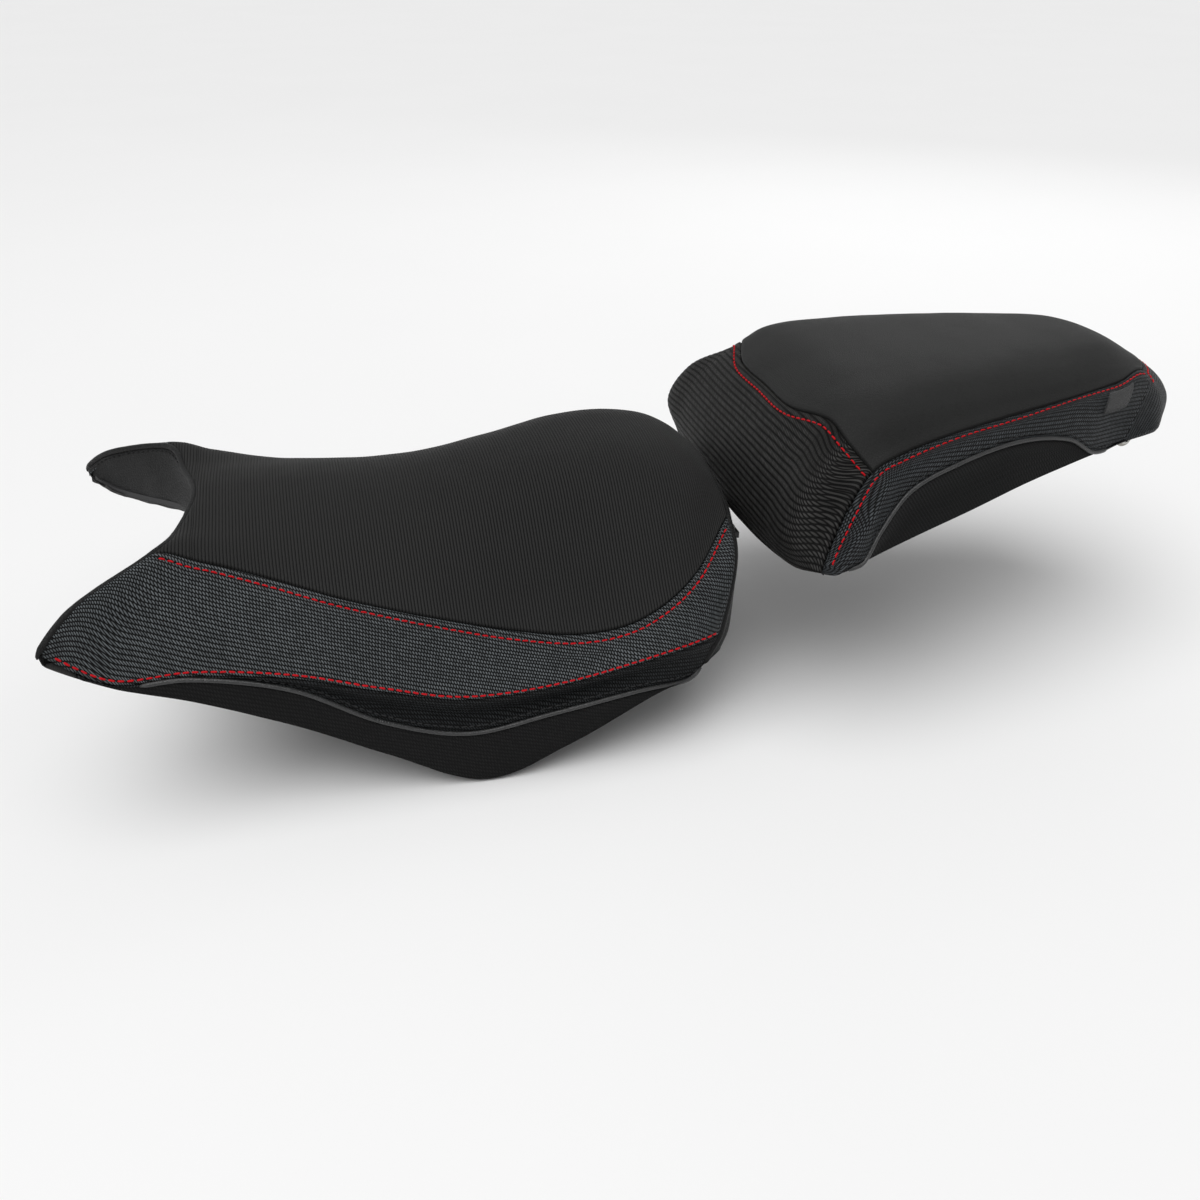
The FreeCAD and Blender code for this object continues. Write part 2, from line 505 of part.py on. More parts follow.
# ---------------------------------------------------------------- pillion seat
P_HALF = vecs(PILLION_RAILS)
PG = dense(P_HALF)
PN = normals(PG)
pR, pC = len(PG), len(PG[0])
PMID = (pC - 1) // 2


def pc(j):
    return int(PMID + j * SUB)


save("pillion_top_panel", cells_solid(PG, PN, [(rr(3), rr(9), pc(-4), pc(4))], 0, COVER_T, name="pillion_top_panel"))
save("pillion_front_panel", cells_solid(PG, PN, [(rr(0), rr(3), pc(-4), pc(4))], 0, COVER_T, name="pillion_front_panel"))
both("pillion_side_bolster", PG, PN, [(rr(0), rr(9), pc(4), pc(6)), (rr(9), rr(11), pc(4), pc(6)), (rr(9), rr(11), pc(6), pc(8)),
                                      (rr(9), rr(11), pc(0), pc(4))], 0, COVER_T, PMID)
both("pillion_side_inset", PG, PN, [(rr(2), rr(8), pc(6), pc(8))], 0, COVER_T, PMID)

P_FRAC = [0.0, 0.28, 0.5, 0.68, 0.8, 0.88, 0.93, 0.97, 1.0]
P_XC = [-10, -2, 8, 28, 52, 84, 133, 184, 222, 258, 272, 290]
P_ARCH = [18, 24, 27, 32, 37, 44, 53, 60, 63, 64, 61, 58]
PP_HALF = pan_rails(P_HALF, P_FRAC, P_XC, P_ARCH, 40, 235, 3, 8, PAN_INSET + 0.8)
PPG = dense(PP_HALF)
PPN = normals(PPG)
P_REACH = [(1, 3.6), (2, 4.4), (3, 5.2), (8, 5.2), (9, 5.0), (10, 4.6)]
save("pillion_foam_pad", pad_solid(P_HALF, PP_HALF, (1, 10), P_REACH, 4.5, FOAM_GAP, FOAM_LIFT, "pillion_foam_pad"))
pil_pan = cells_solid(PPG, PPN, [(0, pR - 1, 0, pC - 1)], 0, PAN_T, gap=0, name="pillion_base_pan")


def pan_z(x):
    """Height of the pillion pan's upper face on the centre line."""
    pts = [PPG[i][PMID] for i in range(pR)]
    for a, b in zip(pts, pts[1:]):
        if a.x <= x <= b.x:
            return a.z + (b.z - a.z) * (x - a.x) / (b.x - a.x)
    return pts[-1].z


boss = []
for x, y, z in PILLION_DAMPERS:
    for s in (-1, 1):
        boss.append(cyl(DAMPER_R + 2, pan_z(x) - PAN_T / 2 - z - DAMPER_H, x, s * y, z + DAMPER_H))
SP_Z = 28.0                                    # underside of the flat pad that carries the striker plate
for xa_, xb_ in ((-20, -10), (-10, 2), (2, 11), (11, 20)):
    boss.append(box(STRIKER_X + xa_, STRIKER_X + xb_, -34, 34, SP_Z, pan_z(STRIKER_X + xa_) - 1.3))
HB_Z = 52.0                                    # underside of the flat pad that carries the hook bracket
boss.append(box(HOOK_X - 52, HOOK_X - 14, -26, 26, HB_Z, pan_z(HOOK_X - 40) - 1.0))
for b in boss:
    pil_pan = pil_pan.fuse(b)
rib_zone = cells_solid(PPG, PPN, [(rr(3), rr(8), pc(-5), pc(5))], PAN_T - 0.6, PAN_T + 5.0, gap=0, name="pillion ribs")
ribs = []
for x in (90.0, 125.0, 160.0):
    ribs.append(box(x - 1.2, x + 1.2, -130, 130, 0, 120))
for y in (-28.0, 28.0):
    ribs.append(box(72, 200, y - 1.2, y + 1.2, 0, 120))
rib_set = ribs[0]
for r in ribs[1:]:
    rib_set = rib_set.fuse(r)
for s in rib_zone.common(rib_set).Solids:
    pil_pan = pil_pan.fuse(s)
BOLT_XY = [(STRIKER_X, -25.0), (STRIKER_X, 25.0)]
for x, y in BOLT_XY:
    pil_pan = pil_pan.cut(cyl(2.6, 9.0, x, y, SP_Z - 1))
HOOK_RIVETS = [(HOOK_X - 40, -16.0), (HOOK_X - 40, 16.0)]
for x, y in HOOK_RIVETS:
    pil_pan = pil_pan.cut(cyl(2.1, 5.0, x, y, HB_Z - 1))
save("pillion_base_pan", pil_pan)

plate = box(STRIKER_X - 14, STRIKER_X + 14, -32, 32, SP_Z - 2.0, SP_Z)
for x, y in BOLT_XY:
    plate = plate.cut(cyl(2.6, 10, x, y, SP_Z - 5))
# striker: round bar bent into a U, welded to the plate
zb = STRIKER_Z + STRIKER_R
bend = 8.0
e1 = Part.makeLine(V(STRIKER_X, -STRIKER_HALF, SP_Z - 2.0), V(STRIKER_X, -STRIKER_HALF, zb + bend))
a1 = Part.Arc(V(STRIKER_X, -STRIKER_HALF, zb + bend), V(STRIKER_X, -STRIKER_HALF + bend * (1 - math.cos(math.pi / 4)), zb + bend * (1 - math.sin(math.pi / 4))), V(STRIKER_X, -STRIKER_HALF + bend, zb)).toShape()
e2 = Part.makeLine(V(STRIKER_X, -STRIKER_HALF + bend, zb), V(STRIKER_X, STRIKER_HALF - bend, zb))
a2 = Part.Arc(V(STRIKER_X, STRIKER_HALF - bend, zb), V(STRIKER_X, STRIKER_HALF - bend * (1 - math.cos(math.pi / 4)), zb + bend * (1 - math.sin(math.pi / 4))), V(STRIKER_X, STRIKER_HALF, zb + bend)).toShape()
e3 = Part.makeLine(V(STRIKER_X, STRIKER_HALF, zb + bend), V(STRIKER_X, STRIKER_HALF, SP_Z - 2.0))
path = Part.Wire([e1, a1, e2, a2, e3])
circ = Part.Wire(Part.makeCircle(STRIKER_R, V(STRIKER_X, -STRIKER_HALF, SP_Z - 2.0), V(0, 0, -1)))
loop = path.makePipeShell([circ], True, False)
save("pillion_striker_plate", plate)
save("pillion_striker", loop)
bolts, nuts = [], []
for x, y in BOLT_XY:
    hexa = [V(x + 4.6 * math.cos(math.radians(60 * k)), y + 4.6 * math.sin(math.radians(60 * k)), SP_Z - 5.5) for k in range(7)]
    head = Part.Face(Part.makePolygon(hexa)).extrude(V(0, 0, 3.5))
    bolts.append(cyl(2.5, 8.0, x, y, SP_Z - 2.2).fuse(head).removeSplitter())
save("pillion_striker_bolts", Part.Compound(bolts))

# rear hook: bracket riveted under the pan, carrying a cross rod that drops into the tail's hooks
br = box(HOOK_X - 50, HOOK_X - 26, -24, 24, HB_Z - 2.0, HB_Z)
for s in (-1, 1):
    y0 = s * 9.0 if s > 0 else -11.0
    arm = box(HOOK_X - 44, HOOK_X, y0, y0 + 2.0, HOOK_Z - 6.5, HB_Z - 2.0).fuse(cyl(6.5, 2.0, HOOK_X, y0, HOOK_Z, V(0, 1, 0)))
    br = br.fuse(arm)
br = br.cut(cyl(HOOK_R + 0.02, 60, HOOK_X, -30, HOOK_Z, V(0, 1, 0)))
for x, y in HOOK_RIVETS:
    br = br.cut(cyl(2.1, 10, x, y, HB_Z - 6))
save("rear_hook_bracket", br.removeSplitter())
save("rear_hook_rod", cyl(HOOK_R, 2 * HOOK_HALF, HOOK_X, -HOOK_HALF, HOOK_Z, V(0, 1, 0)))
rv = []
for x, y in HOOK_RIVETS:
    head = Part.makeSphere(5.0, V(x, y, HB_Z + 1.4)).common(cyl(4.0, 4.0, x, y, HB_Z - 6.0))
    rv.append(cyl(2.0, 4.8, x, y, HB_Z - 2.2).fuse(head).removeSplitter())
save("hook_bracket_rivets", Part.Compound(rv))
sl = []
for s in (-1, 1):
    y0 = 13.5 if s > 0 else -13.5 - SLEEVE_L
    sl.append(cyl(SLEEVE_R, SLEEVE_L, HOOK_X, y0, HOOK_Z, V(0, 1, 0)).cut(cyl(HOOK_R + 0.08, 80, HOOK_X, -40, HOOK_Z, V(0, 1, 0))))
save("rear_hook_sleeves", Part.Compound(sl))

dm = []
for x, y, z in PILLION_DAMPERS:
    for s in (-1, 1):
        dm.append(cyl(DAMPER_R, DAMPER_H, x, s * y, z))
save("pillion_rubber_dampers", Part.Compound(dm))
hems("pillion", PPG, PPN, rr(1), rr(10), pc(6), pR, pC, rr(2), rr(9), pc(4))
sp = []
for k in (6, 8, 10, 12, 14, 16):
    sp += [(k, pc(7), "i"), (k, pc(-7), "i")]
for k in (-3, -1, 1, 3):
    sp.append((1, pc(k), "j"))
for k in (-2, 2):
    sp.append((pR - 2, pc(k), "j"))
staples(PPG, PPN, sp, PAN_T + 0.25 + HEM_T, "pillion_staples")
wl = [PG[i][pc(6)] + PN[i][pc(6)] * (WELT_R + 0.6) for i in range(rr(2), rr(8) + 1)]
save("pillion_welt_right", tube_along(wl, WELT_R, "pillion_welt_right"))
save("pillion_welt_left", tube_along([V(p.x, -p.y, p.z) for p in wl], WELT_R, "pillion_welt_left"))
# blank sewn tag on each bolster near the rear
tags = []
for sgn in (-1, 1):
    i, j = rr(8), pc(5 * sgn)
    n = PN[i][j]
    p = PG[i][j] + n * 0.1
    t = PG[i + 1][j] - PG[i - 1][j]
    t = t - n * t.dot(n)
    t = t * (1.0 / t.Length)
    b = n.cross(t)
    m = FreeCAD.Matrix(t.x, b.x, n.x, p.x, t.y, b.y, n.y, p.y, t.z, b.z, n.z, p.z, 0, 0, 0, 1)
    tags.append(Part.makeBox(28.0, 7.0, 0.5, V(-14.0, -3.5, 0.3)).transformGeometry(m))
save("pillion_blank_tags", Part.Compound(tags))
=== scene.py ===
import bpy
import math
import numpy as np
from mathutils import Matrix, Vector


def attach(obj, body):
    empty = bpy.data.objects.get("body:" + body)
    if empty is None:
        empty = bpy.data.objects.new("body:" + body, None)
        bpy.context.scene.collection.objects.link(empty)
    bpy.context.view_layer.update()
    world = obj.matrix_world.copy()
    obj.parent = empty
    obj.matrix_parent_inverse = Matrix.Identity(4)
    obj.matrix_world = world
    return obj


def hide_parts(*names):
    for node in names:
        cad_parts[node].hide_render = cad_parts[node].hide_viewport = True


# Looks of a two-piece sport motorcycle seat. Lengths are in millimetres until a mesh is made.
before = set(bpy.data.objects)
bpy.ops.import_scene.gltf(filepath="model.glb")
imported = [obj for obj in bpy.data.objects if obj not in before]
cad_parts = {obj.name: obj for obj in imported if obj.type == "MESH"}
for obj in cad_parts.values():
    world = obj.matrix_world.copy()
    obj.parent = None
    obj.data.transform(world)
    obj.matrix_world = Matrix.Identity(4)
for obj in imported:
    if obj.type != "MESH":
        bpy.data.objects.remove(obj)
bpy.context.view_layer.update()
RNG = np.random.default_rng(41)
SHIFT = 12.0          # the rails' own frame to the object's frame, along X

RIDER_RAILS = [
    [(-336.0, 0.0, 30.0), (-340.0, 42.0, 25.0), (-363.0, 78.0, 18.0), (-388.0, 104.0, 16.0), (-398.0, 114.0, 18.5), (-399.0, 114.8, 18.0), (-400.0, 115.6, 18.0), (-401.0, 116.4, 18.0)],  # front wall, lower edge
    [(-328.0, 0.0, 41.0), (-334.0, 42.0, 39.0), (-357.0, 78.0, 35.0), (-386.0, 105.0, 28.0), (-400.5, 117.0, 24.0), (-400.8, 117.6, 23.0), (-401.0, 118.0, 22.0), (-401.2, 118.3, 21.0)],  # front wall, middle
    [(-328.0, 0.0, 52.5), (-335.0, 42.0, 50.5), (-348.2, 78.0, 53.0), (-385.3, 105.0, 41.2), (-402.5, 119.0, 26.4), (-402.5, 119.2, 23.7), (-402.0, 119.4, 21.7), (-401.0, 119.6, 19.6)],  # front rim
    [(-310.0, 0.0, 56.5), (-316.0, 42.0, 53.0), (-323.1, 79.0, 48.1), (-360.5, 104.0, 31.9), (-374.1, 122.4, 6.4), (-373.8, 122.5, 5.9), (-373.5, 122.6, 5.5), (-373.1, 122.7, 4.9)],  # horn
    [(-267.0, 0.0, 56.0), (-267.0, 43.0, 50.0), (-290.6, 82.0, 35.7), (-319.3, 107.0, 21.8), (-333.7, 123.5, 5.6), (-333.7, 123.2, 4.7), (-333.6, 123.4, 4.0), (-333.0, 124.5, -9.4)],
    [(-224.0, 0.0, 55.0), (-224.0, 45.0, 47.0), (-249.5, 89.0, 20.2), (-272.0, 112.0, 8.7), (-285.0, 127.0, -1.4), (-284.9, 125.0, -6.0), (-284.7, 126.5, -8.2), (-283.3, 128.0, -30.8)],
    [(-187.0, 0.0, 59.0), (-187.0, 47.0, 48.0), (-208.0, 97.0, 8.6), (-227.5, 117.0, -4.3), (-240.2, 130.0, -14.7), (-240.8, 126.5, -25.4), (-240.7, 130.5, -32.8), (-238.3, 131.0, -54.6)],
    [(-150.0, 0.0, 65.5), (-150.0, 50.0, 52.5), (-164.4, 105.0, -1.4), (-181.7, 121.5, -13.7), (-196.0, 132.5, -25.5), (-195.5, 128.5, -38.2), (-195.6, 133.5, -46.1), (-187.8, 134.0, -78.3)],  # lowest point of the skirt
    [(-112.0, 0.0, 71.0), (-112.0, 52.0, 59.0), (-121.6, 111.0, -6.4), (-133.4, 124.5, -15.4), (-145.0, 133.0, -24.8), (-145.4, 129.0, -34.9), (-147.7, 134.0, -40.5), (-139.0, 134.5, -62.6)],
    [(-77.0, 0.0, 72.5), (-75.0, 50.0, 61.0), (-84.3, 108.0, 0.0), (-85.8, 120.0, -9.6), (-88.5, 128.0, -18.8), (-91.7, 125.5, -28.4), (-97.5, 130.0, -36.3), (-88.8, 130.5, -40.4)],  # widest rear
    [(-49.0, 0.0, 67.0), (-46.0, 46.0, 56.0), (-53.1, 92.0, 14.1), (-52.0, 105.0, 1.3), (-57.0, 119.0, -17.4), (-60.7, 118.5, -26.1), (-68.1, 122.5, -38.7), (-66.8, 123.0, -37.6)],
    [(-26.0, 0.0, 50.0), (-26.0, 38.0, 44.0), (-24.7, 60.0, 31.0), (-29.3, 88.0, 14.9), (-45.1, 110.5, -18.4), (-49.3, 113.0, -24.0), (-56.9, 117.0, -34.0), (-56.5, 117.3, -33.7)],  # rear rim
    [(-17.0, 0.0, 30.0), (-17.5, 36.0, 26.0), (-21.0, 58.0, 15.0), (-28.0, 83.0, -2.0), (-36.0, 102.0, -20.0), (-40.0, 107.0, -24.0), (-43.0, 109.0, -28.0), (-43.5, 109.5, -29.0)],  # rear wall, middle
    [(-20.0, 0.0, 10.0), (-21.0, 34.0, 7.0), (-26.0, 55.0, -2.0), (-34.0, 78.0, -15.0), (-43.0, 97.0, -27.0), (-45.0, 100.0, -29.0), (-47.0, 102.0, -31.0), (-48.0, 103.0, -32.0)],  # rear wall, lower edge
]
PILLION_RAILS = [
    [(-10.0, 0.0, 18.0), (-9.5, 44.0, 18.0), (-8.0, 80.0, 19.5), (-3.5, 114.0, 22.0), (3.6, 133.0, 26.6), (9.7, 138.0, 26.9), (14.8, 138.2, 28.3), (15.4, 138.0, 28.2), (16.1, 137.8, 28.2)],  # front wall, lower edge
    [(-11.0, 0.0, 34.0), (-11.0, 44.0, 34.5), (-10.5, 80.0, 35.5), (-9.0, 116.0, 41.0), (10.5, 127.0, 37.0), (17.1, 137.0, 39.3), (21.0, 137.2, 29.7), (21.4, 137.0, 29.5), (21.9, 136.8, 29.3)],
    [(-2.0, 0.0, 62.0), (-2.0, 44.0, 62.5), (-1.0, 80.0, 64.0), (4.0, 108.0, 67.0), (23.8, 117.0, 54.0), (29.2, 133.0, 52.9), (27.7, 136.0, 32.5), (28.2, 135.8, 32.3), (28.6, 135.6, 32.0)],
    [(16.7, 0.0, 89.1), (17.4, 43.6, 89.4), (27.8, 74.0, 92.3), (33.7, 89.0, 83.9), (43.5, 104.0, 70.8), (43.7, 122.0, 69.2), (40.0, 129.0, 47.6), (44.9, 128.0, 40.7), (43.0, 131.0, 34.7)],  # front seam of the top
    [(42.0, 0.0, 105.0), (43.0, 46.0, 104.5), (47.0, 74.0, 102.0), (54.0, 88.0, 93.5), (64.8, 98.5, 77.9), (60.7, 114.0, 74.1), (59.1, 119.0, 62.9), (63.8, 119.0, 50.4), (66.6, 125.0, 39.5)],
    [(79.0, 0.0, 112.0), (80.0, 45.0, 110.5), (83.0, 68.0, 106.0), (88.0, 81.0, 97.0), (96.9, 91.5, 83.3), (91.9, 105.0, 81.1), (92.7, 110.0, 72.9), (97.6, 111.0, 59.8), (99.6, 118.0, 46.7)],
    [(133.0, 0.0, 113.5), (134.0, 42.0, 111.5), (136.0, 61.0, 106.5), (137.0, 73.0, 98.5), (137.6, 83.5, 87.7), (133.3, 96.0, 85.8), (136.1, 100.0, 78.1), (137.9, 102.5, 67.5), (138.6, 107.5, 54.4)],
    [(188.0, 0.0, 112.5), (189.0, 36.0, 110.5), (188.0, 53.0, 105.0), (187.0, 63.0, 98.5), (183.6, 72.0, 90.3), (172.5, 86.0, 88.8), (173.0, 92.5, 72.8), (172.7, 94.0, 66.2), (171.1, 98.0, 58.7)],
    [(233.0, 0.0, 109.0), (231.0, 26.0, 107.5), (228.5, 38.0, 103.5), (228.0, 47.0, 97.5), (227.5, 55.0, 90.7), (216.2, 71.0, 87.0), (195.7, 88.2, 60.6), (196.1, 88.4, 60.3), (196.4, 88.6, 60.1)],
    [(270.0, 0.0, 90.0), (269.0, 14.0, 90.0), (266.5, 23.0, 90.0), (263.0, 30.0, 89.5), (257.8, 37.0, 89.9), (252.8, 52.0, 84.9), (226.5, 74.2, 60.1), (227.2, 74.3, 59.9), (227.9, 74.4, 59.6)],  # rear seam of the top
    [(288.5, 0.0, 74.5), (287.5, 15.0, 74.5), (285.0, 25.0, 74.0), (282.0, 32.0, 73.5), (278.0, 39.0, 72.5), (268.0, 51.0, 68.5), (254.0, 66.0, 62.5), (253.2, 66.0, 61.0), (252.5, 66.0, 59.8)],  # rear wall, middle
    [(290.0, 0.0, 55.0), (289.0, 14.0, 55.0), (286.5, 24.0, 55.0), (283.5, 31.0, 55.0), (279.5, 37.5, 55.0), (273.0, 45.0, 55.4), (265.0, 54.0, 57.0), (264.3, 54.5, 57.2), (263.5, 55.0, 57.5)],  # rear wall, lower edge
]

# ------------------------------------------------------------------ surfaces
def cr(P, n):
    """Smooth curves through the rows of a grid of points, n steps a row."""
    P = np.asarray(P, float)
    m = len(P)
    d = np.linalg.norm(np.diff(P, axis=0), axis=2).mean(1) ** 0.5
    T = np.zeros_like(P)
    T[0] = (P[1] - P[0]) / d[0]
    T[-1] = (P[-1] - P[-2]) / d[-1]
    for i in range(1, m - 1):
        a = (P[i] - P[i - 1]) / d[i - 1]
        b = (P[i + 1] - P[i]) / d[i]
        T[i] = (a * d[i] + b * d[i - 1]) / (d[i - 1] + d[i])
    out = []
    for i in range(m - 1):
        h = d[i]
        for k in range(n if i < m - 2 else n + 1):
            s = k / n
            out.append((2 * s ** 3 - 3 * s ** 2 + 1) * P[i] + (s ** 3 - 2 * s ** 2 + s) * h * T[i]
                       + (-2 * s ** 3 + 3 * s ** 2) * P[i + 1] + (s ** 3 - s ** 2) * h * T[i + 1])
    return np.array(out)


NS = 16               # samples between two rails


def full_grid(rails, n=NS):
    C = np.array(rails, float)
    L = C[:, ::-1][:, :-1].copy()
    L[..., 1] *= -1
    G = np.concatenate([L, C], 1)
    G = cr(G, n)
    return cr(G.swapaxes(0, 1), n).swapaxes(0, 1)


class Surf:
    """A smooth sheet sampled finely; rows and columns are counted in rails, column 0 is the centre."""

    def __init__(self, rails, n=NS):
        self.n = n
        self.D = full_grid(rails, n)
        self.D[..., 0] += SHIFT
        self.R, self.C = self.D.shape[:2]
        self.mid = (self.C - 1) // 2
        du = np.gradient(self.D, axis=0)
        dv = np.gradient(self.D, axis=1)
        N = np.cross(du, dv)
        ln = np.linalg.norm(N, axis=2, keepdims=True)
        N = N / np.maximum(ln, 1e-9)
        for _ in range(6):                        # soften across squeezed rails
            P = np.pad(N, ((1, 1), (1, 1), (0, 0)), mode="edge")
            N = (P[1:-1, 1:-1] * 2 + P[:-2, 1:-1] + P[2:, 1:-1] + P[1:-1, :-2] + P[1:-1, 2:])
            N = N / np.maximum(np.linalg.norm(N, axis=2, keepdims=True), 1e-9)
        self.N = N

    def at(self, A, i, j):
        """Samples the array A at rail positions i (rows) by j (columns), both 1-D."""
        fi = np.clip(np.asarray(i, float) * self.n, 0, self.R - 1.0001)
        fj = np.clip(np.asarray(j, float) * self.n + self.mid, 0, self.C - 1.0001)
        i0 = np.floor(fi).astype(int)
        j0 = np.floor(fj).astype(int)
        a = (fi - i0)[:, None, None]
        b = (fj - j0)[None, :, None]
        return ((A[i0][:, j0] * (1 - a) + A[i0 + 1][:, j0] * a) * (1 - b)
                + (A[i0][:, j0 + 1] * (1 - a) + A[i0 + 1][:, j0 + 1] * a) * b)

    def pts(self, i, j):
        return self.at(self.D, i, j)

    def nrm(self, i, j):
        N = self.at(self.N, i, j)
        return N / np.maximum(np.linalg.norm(N, axis=2, keepdims=True), 1e-9)


def spread(length, step, fine0, fine1, first=0.34, grow=1.24):
    """Fractions 0..1 for a length in mm: steps grow from the seam ends flagged."""
    def ramp():
        out, h = [0.0], first
        while h < step and out[-1] < length * 0.4:
            out.append(out[-1] + h)
            h *= grow
        return out
    a = ramp() if fine0 else [0.0]
    b = ramp() if fine1 else [0.0]
    n = max(2, int(round((length - a[-1] - b[-1]) / step)) + 1)
    mid = np.linspace(a[-1], length - b[-1], n)
    pos = a[:-1] + list(mid) + [length - x for x in reversed(b[:-1])]
    return np.array(pos) / length


def arc(P, axis):
    d = np.linalg.norm(np.diff(P, axis=axis), axis=2)
    z = np.zeros_like(np.take(d, [0], axis=axis))
    return np.concatenate([z, np.cumsum(d, axis=axis)], axis=axis)


def waves(P, scale, seed, terms=7):
    """Smooth repeatable noise of about -1..1 over points, features of about `scale` mm."""
    g = np.random.default_rng(seed)
    out = np.zeros(P.shape[:-1])
    for k in range(terms):
        d = g.normal(size=3)
        d /= np.linalg.norm(d)
        f = 2 * math.pi / (scale * g.uniform(0.7, 1.6))
        out += np.sin(P @ d * f + g.uniform(0, 6.28))
    return out / (terms ** 0.5) / 1.4


class Panel:
    """One cover panel: a fine grid with the distance of every vertex from each of its edges."""

    def __init__(self, S, i0, i1, j0, j1, step=1.6, seams="0000", step_i=None):
        # seams: first row, last row, first column, last column
        self.S = S
        si = step_i or step
        probe = S.pts(np.linspace(i0, i1, 60), np.linspace(j0, j1, 60))
        ai = arc(probe, 0).mean(1)
        aj = arc(probe, 1).mean(0)
        Li, Lj = ai[-1], aj[-1]
        self.fi = np.interp(Li * spread(Li, si, seams[0] == "1", seams[1] == "1"), ai, np.linspace(i0, i1, 60))
        self.fj = np.interp(Lj * spread(Lj, step, seams[2] == "1", seams[3] == "1"), aj, np.linspace(j0, j1, 60))
        self.P = S.pts(self.fi, self.fj)
        self.N = S.nrm(self.fi, self.fj)
        self.ai = arc(self.P, 0)
        self.aj = arc(self.P, 1)
        self.e = [self.ai, self.ai[-1:] - self.ai, self.aj, self.aj[:, -1:] - self.aj]
        self.seams = [s == "1" for s in seams]
        self.h = np.zeros(self.P.shape[:2])
        self.base = self.P.copy()

    def seam_valleys(self, depth=1.3, width=1.5, puff=0.55, run=9.0):
        for k in range(4):
            if self.seams[k]:
                d = self.e[k]
                other = self.e[2 + (k + 0) % 2] if k < 2 else self.e[0]
                lim = np.minimum(1.0, (self.e[k] + self.e[k ^ 1]) / 14.0)
                self.h -= depth * lim * np.exp(-(d / width) ** 2)
                self.h += puff * lim * (np.exp(-((d - 3.2) / 1.9) ** 2))
        return self

    def groove(self, k, at, depth=0.35, width=0.9, pitch=None, extra=0.0):
        d = self.e[k]
        g = depth * np.exp(-((d - at) / width) ** 2)
        if pitch:
            along = self.aj if k < 2 else self.ai
            g = g * (1 + extra * np.cos(2 * math.pi * along / pitch))
        self.h -= g
        return self

    def noise(self, amp, scale, seed):
        self.h += amp * waves(self.base, scale, seed)
        return self

    def finish(self):
        self.P = self.base + self.N * self.h[..., None]
        return self

    def line(self, k, at, lift=0.0, trim=(0.0, 0.0)):
        """Points and normals at a distance from edge k, following the finished panel."""
        d = self.e[k]
        out, nn = [], []
        if k >= 2:
            for r in range(d.shape[0]):
                row = d[r] if k == 2 else d[r][::-1]
                P = self.P[r] if k == 2 else self.P[r][::-1]
                N = self.N[r] if k == 2 else self.N[r][::-1]
                if row[-1] < at * 1.2:
                    continue
                out.append([np.interp(at, row, P[:, c]) for c in range(3)])
                nn.append([np.interp(at, row, N[:, c]) for c in range(3)])
        else:
            for c0 in range(d.shape[1]):
                col = d[:, c0] if k == 0 else d[::-1, c0]
                P = self.P[:, c0] if k == 0 else self.P[::-1, c0]
                N = self.N[:, c0] if k == 0 else self.N[::-1, c0]
                if col[-1] < at * 1.2:
                    continue
                out.append([np.interp(at, col, P[:, c]) for c in range(3)])
                nn.append([np.interp(at, col, N[:, c]) for c in range(3)])
        out, nn = np.array(out), np.array(nn)
        nn /= np.linalg.norm(nn, axis=1, keepdims=True)
        out = out + nn * lift
        s = np.concatenate([[0], np.cumsum(np.linalg.norm(np.diff(out, axis=0), axis=1))])
        keep = (s >= trim[0]) & (s <= s[-1] - trim[1])
        return out[keep], nn[keep]

    def mesh_data(self, lip=2.6, uv=None):
        """Vertices, quads and UVs, with a lip turned inwards along every seam edge."""
        P, N = self.P, self.N
        U, W = uv if uv is not None else (self.ai, self.aj)

        def ext(A, which):
            return A
        rows = [P]
        R, C = P.shape[:2]
        big = P
        bu, bw = U, W
        if self.seams[0]:
            big = np.concatenate([(P[:1] - N[:1] * lip), big], 0)
            bu = np.concatenate([bu[:1], bu], 0)
            bw = np.concatenate([bw[:1], bw], 0)
        if self.seams[1]:
            big = np.concatenate([big, (P[-1:] - N[-1:] * lip)], 0)
            bu = np.concatenate([bu, bu[-1:]], 0)
            bw = np.concatenate([bw, bw[-1:]], 0)
        Nb = N
        if self.seams[0]:
            Nb = np.concatenate([N[:1], Nb], 0)
        if self.seams[1]:
            Nb = np.concatenate([Nb, N[-1:]], 0)
        if self.seams[2]:
            big = np.concatenate([big[:, :1] - Nb[:, :1] * lip, big], 1)
            bu = np.concatenate([bu[:, :1], bu], 1)
            bw = np.concatenate([bw[:, :1], bw], 1)
            Nb = np.concatenate([Nb[:, :1], Nb], 1)
        if self.seams[3]:
            big = np.concatenate([big, big[:, -1:] - Nb[:, -1:] * lip], 1)
            bu = np.concatenate([bu, bu[:, -1:]], 1)
            bw = np.concatenate([bw, bw[:, -1:]], 1)
        return big, bu, bw


def grid_faces(R, C, off=0):
    i, j = np.meshgrid(np.arange(R - 1), np.arange(C - 1), indexing="ij")
    a = (i * C + j).ravel() + off
    return np.stack([a, a + C, a + C + 1, a + 1], 1)


def make_mesh(name, verts, faces, uvs=None, smooth=True, flip=False):
    """verts in mm (n,3), faces list of index arrays (quads or mixed), uvs per vertex (n,2) in mm."""
    me = bpy.data.meshes.new(name)
    fl = [tuple(int(x) for x in f) for f in faces]
    if flip:
        fl = [tuple(reversed(f)) for f in fl]
    me.from_pydata((np.asarray(verts) * 0.001).tolist(), [], fl)
    me.validate()
    if uvs is not None:
        lay = me.uv_layers.new(name="UVMap")
        idx = np.empty(len(me.loops), dtype=np.int64)
        me.loops.foreach_get("vertex_index", idx)
        lay.data.foreach_set("uv", np.asarray(uvs, float)[idx].ravel())
    if smooth:
        me.polygons.foreach_set("use_smooth", [True] * len(me.polygons))
    me.update()
    ob = bpy.data.objects.new(name, me)
    bpy.context.scene.collection.objects.link(ob)
    return ob


